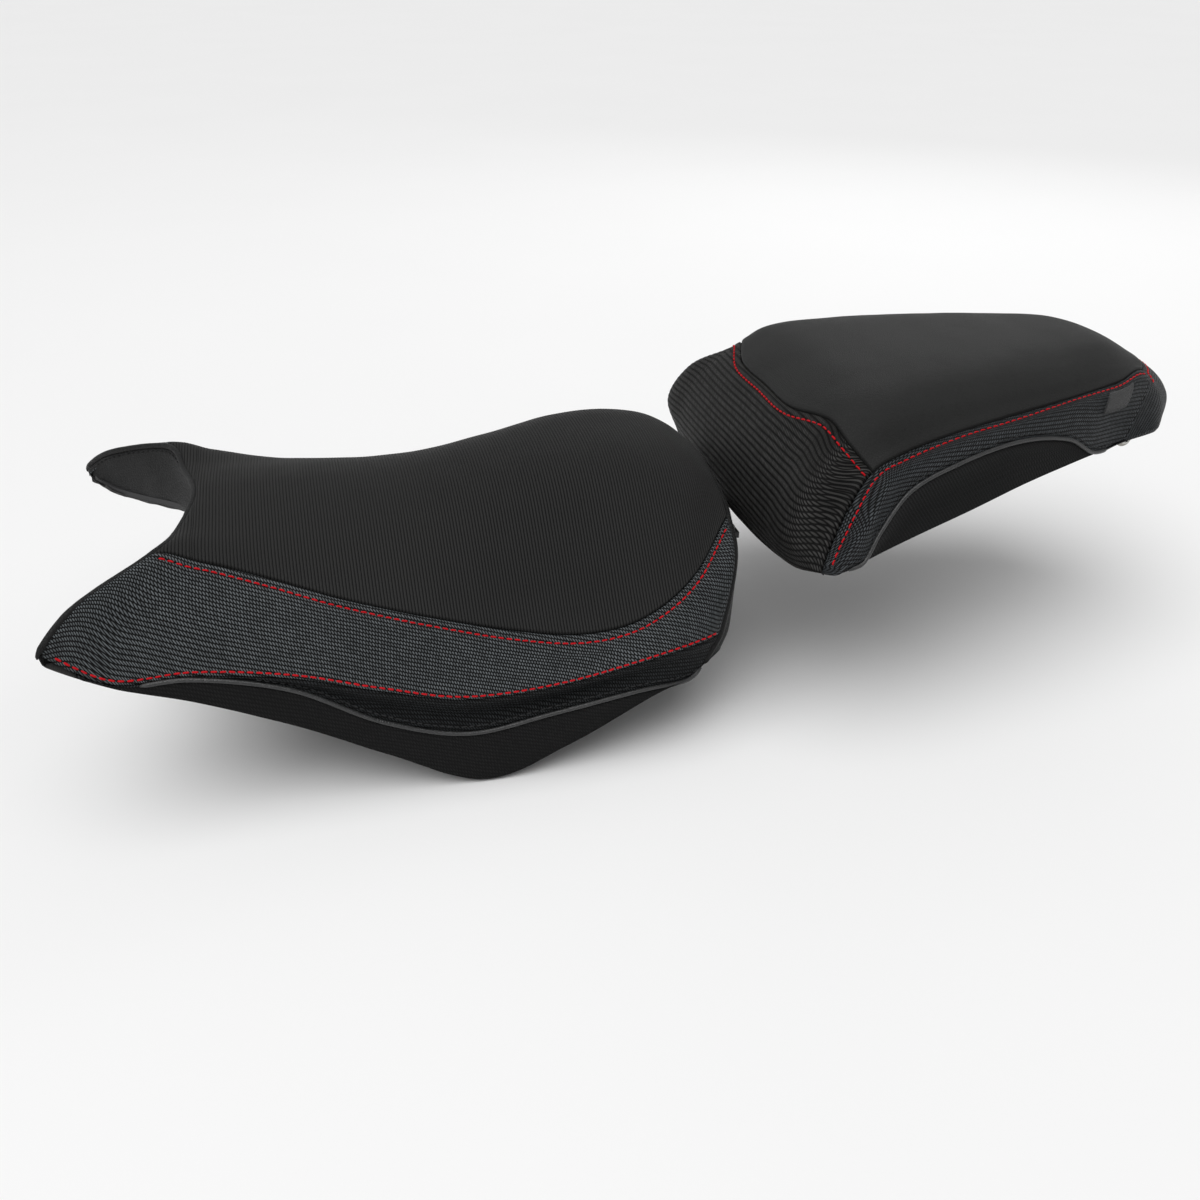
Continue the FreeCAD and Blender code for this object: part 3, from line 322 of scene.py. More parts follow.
def panel_object(name, parts, mat, body, replaces=(), merge=False):
    """parts: list of (grid, U, W); one mesh object."""
    V, F, T = [], [], []
    off = 0
    for G, U, W in parts:
        R, C = G.shape[:2]
        V.append(G.reshape(-1, 3))
        T.append(np.stack([U.ravel(), W.ravel()], 1))
        F.append(grid_faces(R, C, off))
        off += R * C
    ob = make_mesh(name, np.concatenate(V), np.concatenate(F), np.concatenate(T))
    if merge:
        import bmesh
        bm = bmesh.new()
        bm.from_mesh(ob.data)
        bmesh.ops.remove_doubles(bm, verts=bm.verts, dist=2e-5)
        bm.to_mesh(ob.data)
        bm.free()
    ob.data.materials.append(mat)
    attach(ob, body)
    if replaces:
        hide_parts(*replaces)
    return ob


def resample(P, N, step):
    s = np.concatenate([[0], np.cumsum(np.linalg.norm(np.diff(P, axis=0), axis=1))])
    n = max(2, int(round(s[-1] / step)) + 1)
    t = np.linspace(0, s[-1], n)
    Q = np.stack([np.interp(t, s, P[:, c]) for c in range(3)], 1)
    M = np.stack([np.interp(t, s, N[:, c]) for c in range(3)], 1)
    M /= np.linalg.norm(M, axis=1, keepdims=True)
    return Q, M, s[-1]


def tube(P, N, r, sides=14, flat=1.0, wob=0.0, seed=1, ends=True):
    """Swept tube along points; returns verts, faces, uvs (u along, v round)."""
    T = np.gradient(P, axis=0)
    T /= np.maximum(np.linalg.norm(T, axis=1, keepdims=True), 1e-9)
    B = np.cross(T, N)
    B /= np.maximum(np.linalg.norm(B, axis=1, keepdims=True), 1e-9)
    M = np.cross(B, T)
    s = np.concatenate([[0], np.cumsum(np.linalg.norm(np.diff(P, axis=0), axis=1))])
    R = len(P)
    rr_ = np.full(R, r) if np.isscalar(r) else np.asarray(r)
    if wob:
        rr_ = rr_ * (1 + wob * waves(P, 9.0, seed))
    V, U = [], []
    for k in range(sides):
        a = 2 * math.pi * k / sides
        V.append(P + B * (np.cos(a) * rr_)[:, None] + M * (np.sin(a) * rr_ * flat)[:, None])
        U.append(np.stack([s, np.full(R, k * 2 * math.pi * float(np.mean(rr_)) / sides)], 1))
    V = np.stack(V, 1)
    U = np.stack(U, 1)
    F = []
    for i in range(R - 1):
        for k in range(sides):
            k2 = (k + 1) % sides
            F.append((i * sides + k, (i + 1) * sides + k, (i + 1) * sides + k2, i * sides + k2))
    V = V.reshape(-1, 3)
    U = U.reshape(-1, 2)
    if ends:
        c0, c1 = len(V), len(V) + 1
        V = np.concatenate([V, [P[0] - T[0] * float(rr_[0]) * 0.7], [P[-1] + T[-1] * float(rr_[-1]) * 0.7]])
        U = np.concatenate([U, U[:1], U[-1:]])
        for k in range(sides):
            k2 = (k + 1) % sides
            F.append((c0, k, k2))
            F.append((c1, (R - 1) * sides + k2, (R - 1) * sides + k))
    return V, F, U


def stitches(lines, pitch, length, r, lift, seed):
    """Dashes of thread along lines of (points, normals): short tubes that bow up and dive at both ends."""
    g = np.random.default_rng(seed)
    V, F, U = [], [], []
    off = 0
    for P, N in lines:
        if len(P) < 4:
            continue
        Q, M, L = resample(P, N, 0.35)
        s = np.linspace(0, L, len(Q))
        n = int(L / pitch)
        if n < 1:
            continue
        pit = L / n
        for k in range(n):
            c = (k + 0.5) * pit + g.uniform(-0.12, 0.12)
            t = np.linspace(c - length / 2, c + length / 2, 9)
            A = np.stack([np.interp(t, s, Q[:, a]) for a in range(3)], 1)
            B = np.stack([np.interp(t, s, M[:, a]) for a in range(3)], 1)
            B /= np.linalg.norm(B, axis=1, keepdims=True)
            x = np.linspace(-1, 1, 9)
            T = np.gradient(A, axis=0)
            T /= np.linalg.norm(T, axis=1, keepdims=True)
            side = np.cross(B, T)
            tilt = g.uniform(-0.16, 0.16)
            A = A + B * (lift + r * 0.55 - (r * 1.9) * np.abs(x[:, None]) ** 5) + side * (x[:, None] * tilt)
            rad = r * (1 - 0.35 * np.abs(x) ** 4) * g.uniform(0.94, 1.06)
            v, f, u = tube(A, B, rad, sides=8, flat=0.85)
            V.append(v)
            U.append(u + np.array([c, 0]))
            F += [tuple(a + off for a in q) for q in f]
            off += len(v)
    return np.concatenate(V), F, np.concatenate(U)


def put(name, data, mat, body, replaces=(), slot=None):
    v, f, u = data
    ob = make_mesh(name, v, f, u)
    ob.data.materials.append(mat)
    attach(ob, body)
    if replaces:
        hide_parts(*replaces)
    return ob


def join_data(items):
    V, F, U = [], [], []
    off = 0
    for v, f, u in items:
        V.append(v)
        U.append(u)
        F += [tuple(int(a) + off for a in q) for q in f]
        off += len(v)
    return np.concatenate(V), F, np.concatenate(U)


# ----------------------------------------------------------------- materials
def new_mat(name, rough=0.6, spec=0.5, color=(0.03, 0.03, 0.03), metal=0.0, sheen=0.0, coat=0.0):
    m = bpy.data.materials.new(name)
    m.use_nodes = True
    nt = m.node_tree
    b = nt.nodes["Principled BSDF"]
    b.inputs["Base Color"].default_value = (*color, 1)
    b.inputs["Roughness"].default_value = rough
    b.inputs["Specular IOR Level"].default_value = spec
    b.inputs["Metallic"].default_value = metal
    b.inputs["Sheen Weight"].default_value = sheen
    b.inputs["Sheen Roughness"].default_value = 0.5
    b.inputs["Coat Weight"].default_value = coat
    b.inputs["Coat Roughness"].default_value = 0.35
    return m, nt, b


class G:
    """Small helper for node graphs."""

    def __init__(self, nt):
        self.nt = nt
        self.uvn = None
        self.obj = None

    def node(self, t, **kw):
        n = self.nt.nodes.new(t)
        for k, v in kw.items():
            setattr(n, k, v)
        return n

    def set(self, sock, v):
        if hasattr(v, "links") or isinstance(v, bpy.types.NodeSocket):
            self.nt.links.new(v, sock)
        else:
            sock.default_value = v

    def m(self, op, a, b=0.0, c=0.0, clamp=False):
        n = self.node("ShaderNodeMath", operation=op, use_clamp=clamp)
        self.set(n.inputs[0], a)
        self.set(n.inputs[1], b)
        self.set(n.inputs[2], c)
        return n.outputs[0]

    def uv(self):
        if self.uvn is None:
            n = self.node("ShaderNodeUVMap", uv_map="UVMap")
            s = self.node("ShaderNodeSeparateXYZ")
            self.nt.links.new(n.outputs[0], s.inputs[0])
            self.uvn = (s.outputs[0], s.outputs[1], n.outputs[0])
        return self.uvn

    def pos(self):
        if self.obj is None:
            self.obj = self.node("ShaderNodeTexCoord").outputs["Object"]
        return self.obj

    def noise(self, scale, detail=3.0, rough=0.55, vec=None):
        n = self.node("ShaderNodeTexNoise")
        self.nt.links.new(vec if vec is not None else self.pos(), n.inputs["Vector"])
        n.inputs["Scale"].default_value = scale
        n.inputs["Detail"].default_value = detail
        n.inputs["Roughness"].default_value = rough
        return n.outputs["Fac"]

    def voronoi(self, scale, feature="F1", vec=None, rand=1.0):
        n = self.node("ShaderNodeTexVoronoi", feature=feature)
        self.nt.links.new(vec if vec is not None else self.pos(), n.inputs["Vector"])
        n.inputs["Scale"].default_value = scale
        n.inputs["Randomness"].default_value = rand
        return n.outputs["Distance"]

    def ramp(self, fac, stops):
        n = self.node("ShaderNodeValToRGB")
        e = n.color_ramp.elements
        while len(e) < len(stops):
            e.new(0.5)
        for k, (p, c) in enumerate(stops):
            e[k].position = p
            e[k].color = (*c, 1) if len(c) == 3 else c
        self.set(n.inputs[0], fac)
        return n.outputs[0]

    def range(self, v, a, b, c=0.0, d=1.0):
        n = self.node("ShaderNodeMapRange", interpolation_type="SMOOTHSTEP")
        self.set(n.inputs[0], v)
        for k, x in zip((1, 2, 3, 4), (a, b, c, d)):
            n.inputs[k].default_value = x
        return n.outputs[0]

    def mix(self, f, a, b):
        n = self.node("ShaderNodeMix", data_type="RGBA")
        self.set(n.inputs[0], f)
        self.set(n.inputs[6], a if not isinstance(a, tuple) else (*a, 1))
        self.set(n.inputs[7], b if not isinstance(b, tuple) else (*b, 1))
        return n.outputs[2]

    def bump(self, h, dist, strength=1.0, normal=None):
        n = self.node("ShaderNodeBump")
        n.inputs["Strength"].default_value = strength
        n.inputs["Distance"].default_value = dist
        self.nt.links.new(h, n.inputs["Height"])
        if normal is not None:
            self.nt.links.new(normal, n.inputs["Normal"])
        return n.outputs[0]


def mat_ribbed(name, pitch=3.1, dark=(0.012, 0.012, 0.0125), light=(0.041, 0.041, 0.042), depth=0.0004, rough=0.62):
    """Vinyl with fine ribs across UV x, with painted shade darkening the colour in the rib valleys."""
    m, nt, b = new_mat(name, rough=rough, spec=0.12, sheen=0.02)
    g = G(nt)
    u, v, _ = g.uv()
    n1 = g.noise(420, 3)
    uu = g.m("ADD", u, g.m("MULTIPLY", n1, 0.35))
    ph = g.m("MULTIPLY", uu, math.pi / pitch)
    h = g.m("POWER", g.m("ABSOLUTE", g.m("SINE", ph)), 0.7)
    cells = g.voronoi(1500)
    grain = g.noise(2600, 2)
    hh = g.m("ADD", h, g.m("MULTIPLY", grain, 0.22))
    hh = g.m("ADD", hh, g.m("MULTIPLY", cells, 0.12))
    big = g.noise(9, 3)
    # colour follows the rib height: the dark colour in the valleys is painted shade, with a random large-scale tone on
    # top
    f = g.m("MULTIPLY", g.range(h, 0.15, 0.85), g.m("ADD", 0.72, g.m("MULTIPLY", big, 0.5)), clamp=True)
    col = g.mix(f, dark, light)
    nt.links.new(col, b.inputs["Base Color"])
    r = g.m("ADD", rough - 0.1, g.m("MULTIPLY", grain, 0.2))
    nt.links.new(r, b.inputs["Roughness"])
    nt.links.new(g.bump(hh, depth), b.inputs["Normal"])
    return m


def mat_carbon(name, row=3.4, dash=2.0, slant=0.75, dark=(0.006, 0.0065, 0.007), light=(0.105, 0.112, 0.12),
               depth=0.0005, rough=0.36, swap=False, gain=1.0):
    """Embossed carbon-look vinyl: rows of slanted dashes. UV x runs along the rows, UV y across them."""
    m, nt, b = new_mat(name, rough=rough, spec=0.16)
    g = G(nt)
    u, v, _ = g.uv()
    if swap:
        u, v = v, u
    wob = g.m("MULTIPLY", g.m("SUBTRACT", g.noise(60, 2), 0.5), 1.0)
    vv = g.m("ADD", v, wob)
    q = g.m("DIVIDE", vv, row)
    k = g.m("FLOOR", q)
    fv = g.m("SUBTRACT", q, k)
    uu = g.m("ADD", g.m("DIVIDE", u, dash), g.m("MULTIPLY", g.m("SUBTRACT", fv, 0.5), slant))
    uu = g.m("ADD", uu, g.m("MULTIPLY", k, 0.5))
    fu = g.m("FRACT", uu)
    pu = g.m("POWER", g.m("ABSOLUTE", g.m("SINE", g.m("MULTIPLY", fu, math.pi))), 0.8)
    pv = g.m("POWER", g.m("ABSOLUTE", g.m("SINE", g.m("MULTIPLY", fv, math.pi))), 0.55)
    h = g.m("MULTIPLY", pu, pv)
    idn = g.m("FRACT", g.m("MULTIPLY", g.m("SINE", g.m("ADD", g.m("MULTIPLY", g.m("FLOOR", uu), 12.99), g.m("MULTIPLY", k, 78.2))), 437.5))
    var = g.m("ADD", 0.62, g.m("MULTIPLY", idn, 0.5))
    mask = g.m("MULTIPLY", g.range(h, 0.38, 0.9), var, clamp=True)
    big = g.noise(14, 2)
    mask = g.m("MULTIPLY", mask, g.m("ADD", 0.65 * gain, g.m("MULTIPLY", big, 0.6 * gain)), clamp=True)
    nt.links.new(g.mix(mask, dark, light), b.inputs["Base Color"])
    fine = g.noise(2200, 2)
    hh = g.m("ADD", h, g.m("MULTIPLY", fine, 0.12))
    nt.links.new(g.bump(hh, depth), b.inputs["Normal"])
    nt.links.new(g.m("SUBTRACT", rough + 0.2, g.m("MULTIPLY", mask, 0.2)), b.inputs["Roughness"])
    return m


def mat_leather(name, color=(0.028, 0.028, 0.029), scale=620, depth=0.00022, rough=0.5, var=0.35, spec=0.17, crease=0.3):
    """Fine-grained leather or smooth vinyl."""
    m, nt, b = new_mat(name, rough=rough, spec=spec, sheen=0.04)
    g = G(nt)
    c1 = g.voronoi(scale, "DISTANCE_TO_EDGE")
    pebble = g.range(c1, 0.0, 0.16)
    n1 = g.noise(scale * 2.4, 2)
    n2 = g.noise(28, 4)
    h = g.m("ADD", g.m("MULTIPLY", pebble, 0.8), g.m("MULTIPLY", n1, 0.35))
    h2 = g.m("MULTIPLY", g.noise(70, 4, 0.6), crease)
    h = g.m("ADD", h, h2)
    lo = tuple(c * (1 - var) for c in color)
    hi = tuple(c * (1 + var) for c in color)
    col = g.mix(g.m("MULTIPLY", pebble, g.range(n2, 0.25, 0.75, 0.45, 1.0)), lo, hi)
    nt.links.new(col, b.inputs["Base Color"])
    nt.links.new(g.m("ADD", rough - 0.08, g.m("MULTIPLY", n2, 0.16)), b.inputs["Roughness"])
    nt.links.new(g.bump(h, depth), b.inputs["Normal"])
    return m


def mat_thread(name, color, rough=0.55):
    m, nt, b = new_mat(name, rough=rough, spec=0.15, sheen=0.03)
    g = G(nt)
    u, v, _ = g.uv()
    tw = g.m("SINE", g.m("ADD", g.m("MULTIPLY", u, 9.0), g.m("MULTIPLY", v, 5.0)))
    tw = g.m("ADD", g.m("MULTIPLY", tw, 0.5), 0.5)
    fib = g.noise(3500, 2)
    lo = tuple(c * 0.55 for c in color)
    nt.links.new(g.mix(g.m("ADD", g.m("MULTIPLY", tw, 0.7), g.m("MULTIPLY", fib, 0.3)), lo, color), b.inputs["Base Color"])
    nt.links.new(g.bump(g.m("ADD", tw, g.m("MULTIPLY", fib, 0.4)), 0.00015), b.inputs["Normal"])
    return m


def mat_plastic(name, color=(0.02, 0.02, 0.021), rough=0.55):
    m, nt, b = new_mat(name, rough=rough, spec=0.45)
    g = G(nt)
    n1 = g.noise(900, 3)
    n2 = g.noise(18, 4)
    sp = g.voronoi(700)
    nt.links.new(g.mix(n2, tuple(c * 0.75 for c in color), tuple(c * 1.35 for c in color)), b.inputs["Base Color"])
    nt.links.new(g.m("ADD", rough - 0.1, g.m("MULTIPLY", n2, 0.22)), b.inputs["Roughness"])
    nt.links.new(g.bump(g.m("ADD", n1, g.m("MULTIPLY", sp, 0.5)), 0.00012), b.inputs["Normal"])
    return m


def mat_metal(name, color=(0.62, 0.61, 0.58), rough=0.32):
    m, nt, b = new_mat(name, rough=rough, spec=0.5, metal=1.0)
    g = G(nt)
    n1 = g.noise(240, 4)
    n2 = g.noise(26, 3)
    st = g.node("ShaderNodeMapping")
    nt.links.new(g.pos(), st.inputs[0])
    st.inputs["Scale"].default_value = (1, 1, 9)
    n3 = g.noise(300, 3, vec=st.outputs[0])
    nt.links.new(g.mix(n2, tuple(c * 0.8 for c in color), color), b.inputs["Base Color"])
    nt.links.new(g.m("ADD", rough - 0.1, g.m("MULTIPLY", n3, 0.28)), b.inputs["Roughness"])
    nt.links.new(g.bump(g.m("ADD", n1, n3), 0.00003), b.inputs["Normal"])
    return m


def mat_weave(name, color=(0.03, 0.03, 0.032), pitch=1.1, rough=0.8, depth=0.00025):
    """Woven backing or tape, from UVs in millimetres."""
    m, nt, b = new_mat(name, rough=rough, spec=0.3, sheen=0.15)
    g = G(nt)
    u, v, _ = g.uv()
    a = g.m("SINE", g.m("MULTIPLY", u, 2 * math.pi / pitch))
    c = g.m("SINE", g.m("MULTIPLY", v, 2 * math.pi / pitch))
    w = g.m("MULTIPLY", a, c)
    w = g.m("ADD", g.m("MULTIPLY", w, 0.5), 0.5)
    n = g.noise(1200, 2)
    h = g.m("ADD", w, g.m("MULTIPLY", n, 0.5))
    nt.links.new(g.mix(h, tuple(x * 0.5 for x in color), tuple(x * 1.3 for x in color)), b.inputs["Base Color"])
    nt.links.new(g.bump(h, depth), b.inputs["Normal"])
    return m

# ------------------------------------------------------------ the pans' own surface
def pan_rails(rails, frac, xc, arch, xa, xb, first, last, inset=4.2, lift=2.6):
    """Rails of a pan's upper face, as the frame's own pan has them."""
    rails = np.array(rails, float)
    n, nf = len(rails), len(frac)
    frac = np.array(frac)

    def moved(p):
        v = np.array([min(max(p[0], xa), xb) - p[0], -p[1], 0.0])
        return p + v / max(np.linalg.norm(v), 1e-9) * inset + np.array([0, 0, lift])
    edge = np.array([moved(rails[i, -1]) for i in range(n)])

    def end_row(row):
        out = np.array([moved(p) for p in row])
        out[np.abs(row[:, 1]) < 1e-9, 1] = 0
        return out
    rows = np.zeros((n, nf, 3))
    rows[0], rows[-1] = end_row(rails[0]), end_row(rails[-1])
    for i in range(first, last + 1):
        e = edge[i]
        rows[i, :, 0] = xc[i] + (e[0] - xc[i]) * frac ** 2
        rows[i, :, 1] = e[1] * frac
        rows[i, :, 2] = arch[i] - (arch[i] - e[2]) * frac ** 4
    w = (frac ** 6)[:, None]
    for i in range(1, first):
        s = i / first
        rows[i] = (rows[0] * (1 - s) + rows[first] * s) * (1 - w) + edge[i] * w
    for i in range(last + 1, n - 1):
        s = (i - last) / (n - 1 - last)
        rows[i] = (rows[last] * (1 - s) + rows[-1] * s) * (1 - w) + edge[i] * w
    return rows


RS = Surf(RIDER_RAILS)
PS = Surf(PILLION_RAILS)
RPS = Surf(pan_rails(RIDER_RAILS, [0.0, 0.30, 0.55, 0.75, 0.88, 0.93, 0.97, 1.0],
                     [-336, -330, -322, -300, -262, -222, -187, -150, -112, -80, -52, -30, -25, -20],
                     [30, 28, 25, 20, 12, 7, 5, 5, 5, 5, 5, 6, 9, 10], -300, -60, 3, 10))
PPS = Surf(pan_rails(PILLION_RAILS, [0.0, 0.28, 0.5, 0.68, 0.8, 0.88, 0.93, 0.97, 1.0],
                     [-10, -2, 8, 28, 52, 84, 133, 184, 222, 258, 272, 290],
                     [18, 24, 27, 32, 37, 44, 53, 60, 63, 64, 61, 58], 40, 235, 3, 8, inset=5.0))

# ------------------------------------------------------------------ finishes
# M_RIB and M_INRIB: the dark colour is painted shade in the rib valleys, the light colour is the vinyl on the ridges
M_RIB = mat_ribbed("ribbed_vinyl", pitch=1.76, dark=(0.0012, 0.0012, 0.0012), light=(0.0215, 0.0215, 0.0212))
M_FRIB = mat_carbon("carbon_look_vinyl_front", row=3.7, dash=1.72, slant=-1.6, dark=(0.0008, 0.0008, 0.0008), light=(0.042, 0.0415, 0.040), gain=0.95, rough=0.42)
M_INRIB = mat_ribbed("inset_ribbed_vinyl", pitch=2.0, dark=(0.001, 0.001, 0.001), light=(0.0085, 0.0086, 0.0088), rough=0.55)
M_CARB = mat_carbon("carbon_look_vinyl", row=2.35, dash=1.72, slant=-1.15, dark=(0.0012, 0.0014, 0.0015), light=(0.118, 0.130, 0.137))
M_CARB2 = mat_carbon("carbon_look_vinyl_pillion", row=2.35, dash=1.72, slant=-1.15, dark=(0.001, 0.0011, 0.0012), light=(0.064, 0.071, 0.077), gain=0.92)
M_TOP = mat_leather("smooth_vinyl", color=(0.0138, 0.0141, 0.0138), scale=800, depth=0.00012, rough=0.58, var=0.18, crease=0.2)
M_LEA = mat_leather("grained_leather", color=(0.009, 0.0091, 0.0092), scale=560, depth=0.0002, rough=0.44, var=0.3)
# the band is the side panels' carbon-look vinyl with darker colours and lower gain: painted shade, as the band tucks in
# under the side panel
M_BAND_SHADED = mat_carbon("carbon_look_vinyl_band_painted_shade", row=2.35, dash=1.72, slant=-1.15, dark=(0.0008, 0.0009, 0.001), light=(0.026, 0.029, 0.031), gain=0.8, rough=0.42)
# the skirt is the same carbon-look vinyl with much darker colours and lower gain: painted shade, as the skirt faces
# down and sideways
M_SKIRT_SHADED = mat_carbon("carbon_look_vinyl_skirt_painted_shade", row=2.35, dash=1.72, slant=-1.15, dark=(0.002, 0.002, 0.0021), light=(0.0095, 0.0096, 0.0097),
                     gain=0.8, rough=0.5, depth=0.00025)
M_WELT = mat_leather("welt_leather", color=(0.017, 0.0175, 0.018), scale=700, depth=0.00012, rough=0.3, var=0.25, spec=0.6)
M_RED = mat_thread("red_thread", (0.66, 0.004, 0.012))
M_BLK = mat_thread("black_thread", (0.014, 0.014, 0.0145))
M_GREY = mat_thread("grey_thread", (0.035, 0.036, 0.037))
M_HEM = mat_weave("cover_backing", color=(0.028, 0.0275, 0.027), pitch=1.0)
M_TAPE = mat_weave("tag_tape", color=(0.012, 0.012, 0.0125), pitch=0.9, rough=0.6)
M_PAN = mat_plastic("pan_plastic", (0.018, 0.018, 0.019))
M_RUB = mat_plastic("damper_rubber", (0.011, 0.011, 0.011), rough=0.8)
M_NYL = mat_plastic("sleeve_nylon", (0.42, 0.40, 0.36), rough=0.42)
M_ZINC = mat_metal("zinc_steel", (0.60, 0.59, 0.56), 0.34)
M_WIRE = mat_metal("staple_wire", (0.66, 0.66, 0.67), 0.25)


def mat_foam(name):
    m, nt, b = new_mat(name, rough=0.95, spec=0.2)
    g = G(nt)
    v1 = g.voronoi(420)
    v2 = g.voronoi(1100)
    h = g.m("ADD", g.m("MULTIPLY", v1, 0.7), g.m("MULTIPLY", v2, 0.4))
    nt.links.new(g.mix(g.range(h, 0.1, 0.7), (0.16, 0.145, 0.11), (0.42, 0.39, 0.31)), b.inputs["Base Color"])
    nt.links.new(g.bump(h, 0.0006), b.inputs["Normal"])
    return m


M_FOAM = mat_foam("seat_foam")


def ribs(h, u, pitch, amp, fade=None):
    r = np.abs(np.sin(math.pi * u / pitch)) ** 0.7 - 0.62
    return h + amp * r * (1.0 if fade is None else fade)


def away(p, dist=3.0, edges=(0, 1, 2, 3)):
    """0 at a seam, 1 a few millimetres away from every seam."""
    f = np.ones(p.P.shape[:2])
    for k in edges:
        if p.seams[k]:
            f = np.minimum(f, np.clip(p.e[k] / dist, 0, 1))
    return f * f * (3 - 2 * f)


FINE = 0.36


def smooth1(A, n):
    for _ in range(n):
        P = np.concatenate([A[:1], A, A[-1:]], 0)
        A = (P[:-2] + 2 * P[1:-1] + P[2:]) / 4
    return A


def develop(p, k, lo=0.1, hi=0.55):
    """Flat-sheet coordinates of a panel, unrolled away from its seam edge k (2 or 3), rows level over lo..hi."""
    P = {0: p.base.swapaxes(0, 1), 2: p.base, 3: p.base[:, ::-1]}[k]
    N = {0: p.N.swapaxes(0, 1), 2: p.N, 3: p.N[:, ::-1]}[k]
    c = smooth1(P[:, 0], 6)
    n = N[:, 0]
    s = np.concatenate([[0], np.cumsum(np.linalg.norm(np.diff(c, axis=0), axis=1))])
    T = np.gradient(c, s, axis=0)
    T /= np.linalg.norm(T, axis=1, keepdims=True)
    m = min(12, P.shape[1] - 1)
    col = P[:, m] - P[:, 0]
    col -= n * (col * n).sum(1, keepdims=True)
    col /= np.linalg.norm(col, axis=1, keepdims=True)
    B = np.cross(n, T)
    B *= np.sign((B * col).sum(1).mean())
    T2 = smooth1(T, 30)
    kg = (np.gradient(T2, s, axis=0) * B).sum(1)
    kg = smooth1(kg, 30)
    th = np.concatenate([[0], np.cumsum((kg[1:] + kg[:-1]) / 2 * np.diff(s))])
    a, z = int(lo * len(s)), int(hi * len(s))
    th -= th[a:z].mean()
    x = np.concatenate([[0], np.cumsum((np.cos(th)[1:] + np.cos(th)[:-1]) / 2 * np.diff(s))])
    y = np.concatenate([[0], np.cumsum((np.sin(th)[1:] + np.sin(th)[:-1]) / 2 * np.diff(s))])
    ph = smooth1(np.arctan2((col * B).sum(1), (col * T).sum(1)), 6)
    d = arc(P, 1)
    U = x[:, None] + d * np.cos(th + ph)[:, None]
    W = y[:, None] + d * np.sin(th + ph)[:, None]
    if k == 3:
        U, W = U[:, ::-1], W[:, ::-1]
    if k == 0:
        U, W = U.T, W.T
    return U, W


def body_part(name, specs, mat, body, rep, merge=False, foam_extra=()):
    return panel_object(name, [s.mesh_data(uv=uv) for s, uv in specs], mat, body, rep, merge)


# ============================================================== RIDER COVER
rt = Panel(RS, 2, 11, -2, 2, step=2.2, step_i=FINE, seams="1111")
cx = RS.pts(np.linspace(2, 11, 400), np.array([0.0]))[:, 0]
ca = arc(cx[:, None, :], 0)[:, 0]
rt_u = np.interp(rt.base[..., 0], cx[:, 0], ca)
rt_u = rt_u + np.where(rt.base[..., 0] < cx[0, 0], rt.base[..., 0] - cx[0, 0], 0.0)
rt.seam_valleys(1.6, 0.58, 0.22)
rt.groove(2, 3.0, 0.18, 1.2, 4.5, 0.5).groove(3, 3.0, 0.18, 1.2, 4.5, 0.5)
rt.noise(0.35, 70, 11).noise(0.12, 22, 12)
rt.h = ribs(rt.h, rt_u, 1.76, 0.20, away(rt, 2.5))
rt.finish()
rider_top = body_part("rider_top", [(rt, (rt_u, rt.base[..., 1]))], M_RIB, "rider_seat", ["rider_top_panel"])

sides = {}
for tag, c0, c1 in (("right", 2, 4), ("left", -4, -2)):
    s = Panel(RS, 2, 11, c0, c1, step=0.45, step_i=1.6, seams="1111")
    up, lo = (2, 3) if tag == "right" else (3, 2)
    s.seam_valleys(1.6, 0.58, 0.25)
    s.groove(up, 5.5, 0.55, 0.9, 4.5, 0.35)
    s.groove(lo, 2.6, 0.45, 0.8, 4.5, 0.35)
    s.noise(0.45, 60, 21).noise(0.14, 20, 22)
    uu, dv = develop(s, up)
    fade = away(s, 3.0) * np.clip((s.e[up] - 6.6) / 1.5, 0, 1)
    s.h += 0.17 * (np.abs(np.sin(math.pi * dv / 2.35)) ** 0.6 - 0.65) * fade
    s.finish()
    sides[tag] = (s, up, lo)
    body_part("rider_side_" + tag, [(s, (uu, dv))], M_CARB, "rider_seat", ["rider_side_panel_" + tag])

def steady(panel, S):
    """Where the sheet folds back under its own edge, keep pointing the way the edge does."""
    ref = S.nrm(panel.fi, np.clip(panel.fj, -6.0, 6.0))
    bad = (panel.N * ref).sum(2) < 0.3
    panel.N = np.where(bad[..., None], ref, panel.N)


bands, skirts = {}, {}
for tag, sg in (("right", 1), ("left", -1)):
    c0, c1 = (4, 6) if sg > 0 else (-6, -4)
    s = Panel(RS, 2.6, 11, c0, c1, step=0.8, step_i=1.6, seams="1111")
    up, lo = (2, 3) if sg > 0 else (3, 2)
    s.seam_valleys(0.8, 1.1, 0.25)
    s.groove(lo, 3.6, 0.3, 0.7, 4.2, 0.4)
    s.noise(0.2, 45, 31)
    uu, dv = develop(s, up, 0.15, 0.6)
    s.finish()
    bands[tag] = (s, up, lo)
    body_part("rider_band_" + tag, [(s, (uu, dv))], M_BAND_SHADED, "rider_seat", ["rider_accent_band_" + tag])
    c0, c1 = (6, 7) if sg > 0 else (-7, -6)
    s = Panel(RS, 2.6, 11, c0, c1, step=1.0, step_i=1.8, seams="1110" if sg > 0 else "1101")
    up, lo = (2, 3) if sg > 0 else (3, 2)
    steady(s, RS)
    s.seam_valleys(0.8, 1.1, 0.3)
    s.noise(0.4, 55, 33).noise(0.12, 18, 34)
    uu, dv = develop(s, up, 0.1, 0.5)
    s.finish()
    skirts[tag] = (s, up, lo)
    body_part("rider_skirt_cover_" + tag, [(s, (uu, dv))], M_SKIRT_SHADED, "rider_seat", ["rider_skirt_" + tag])

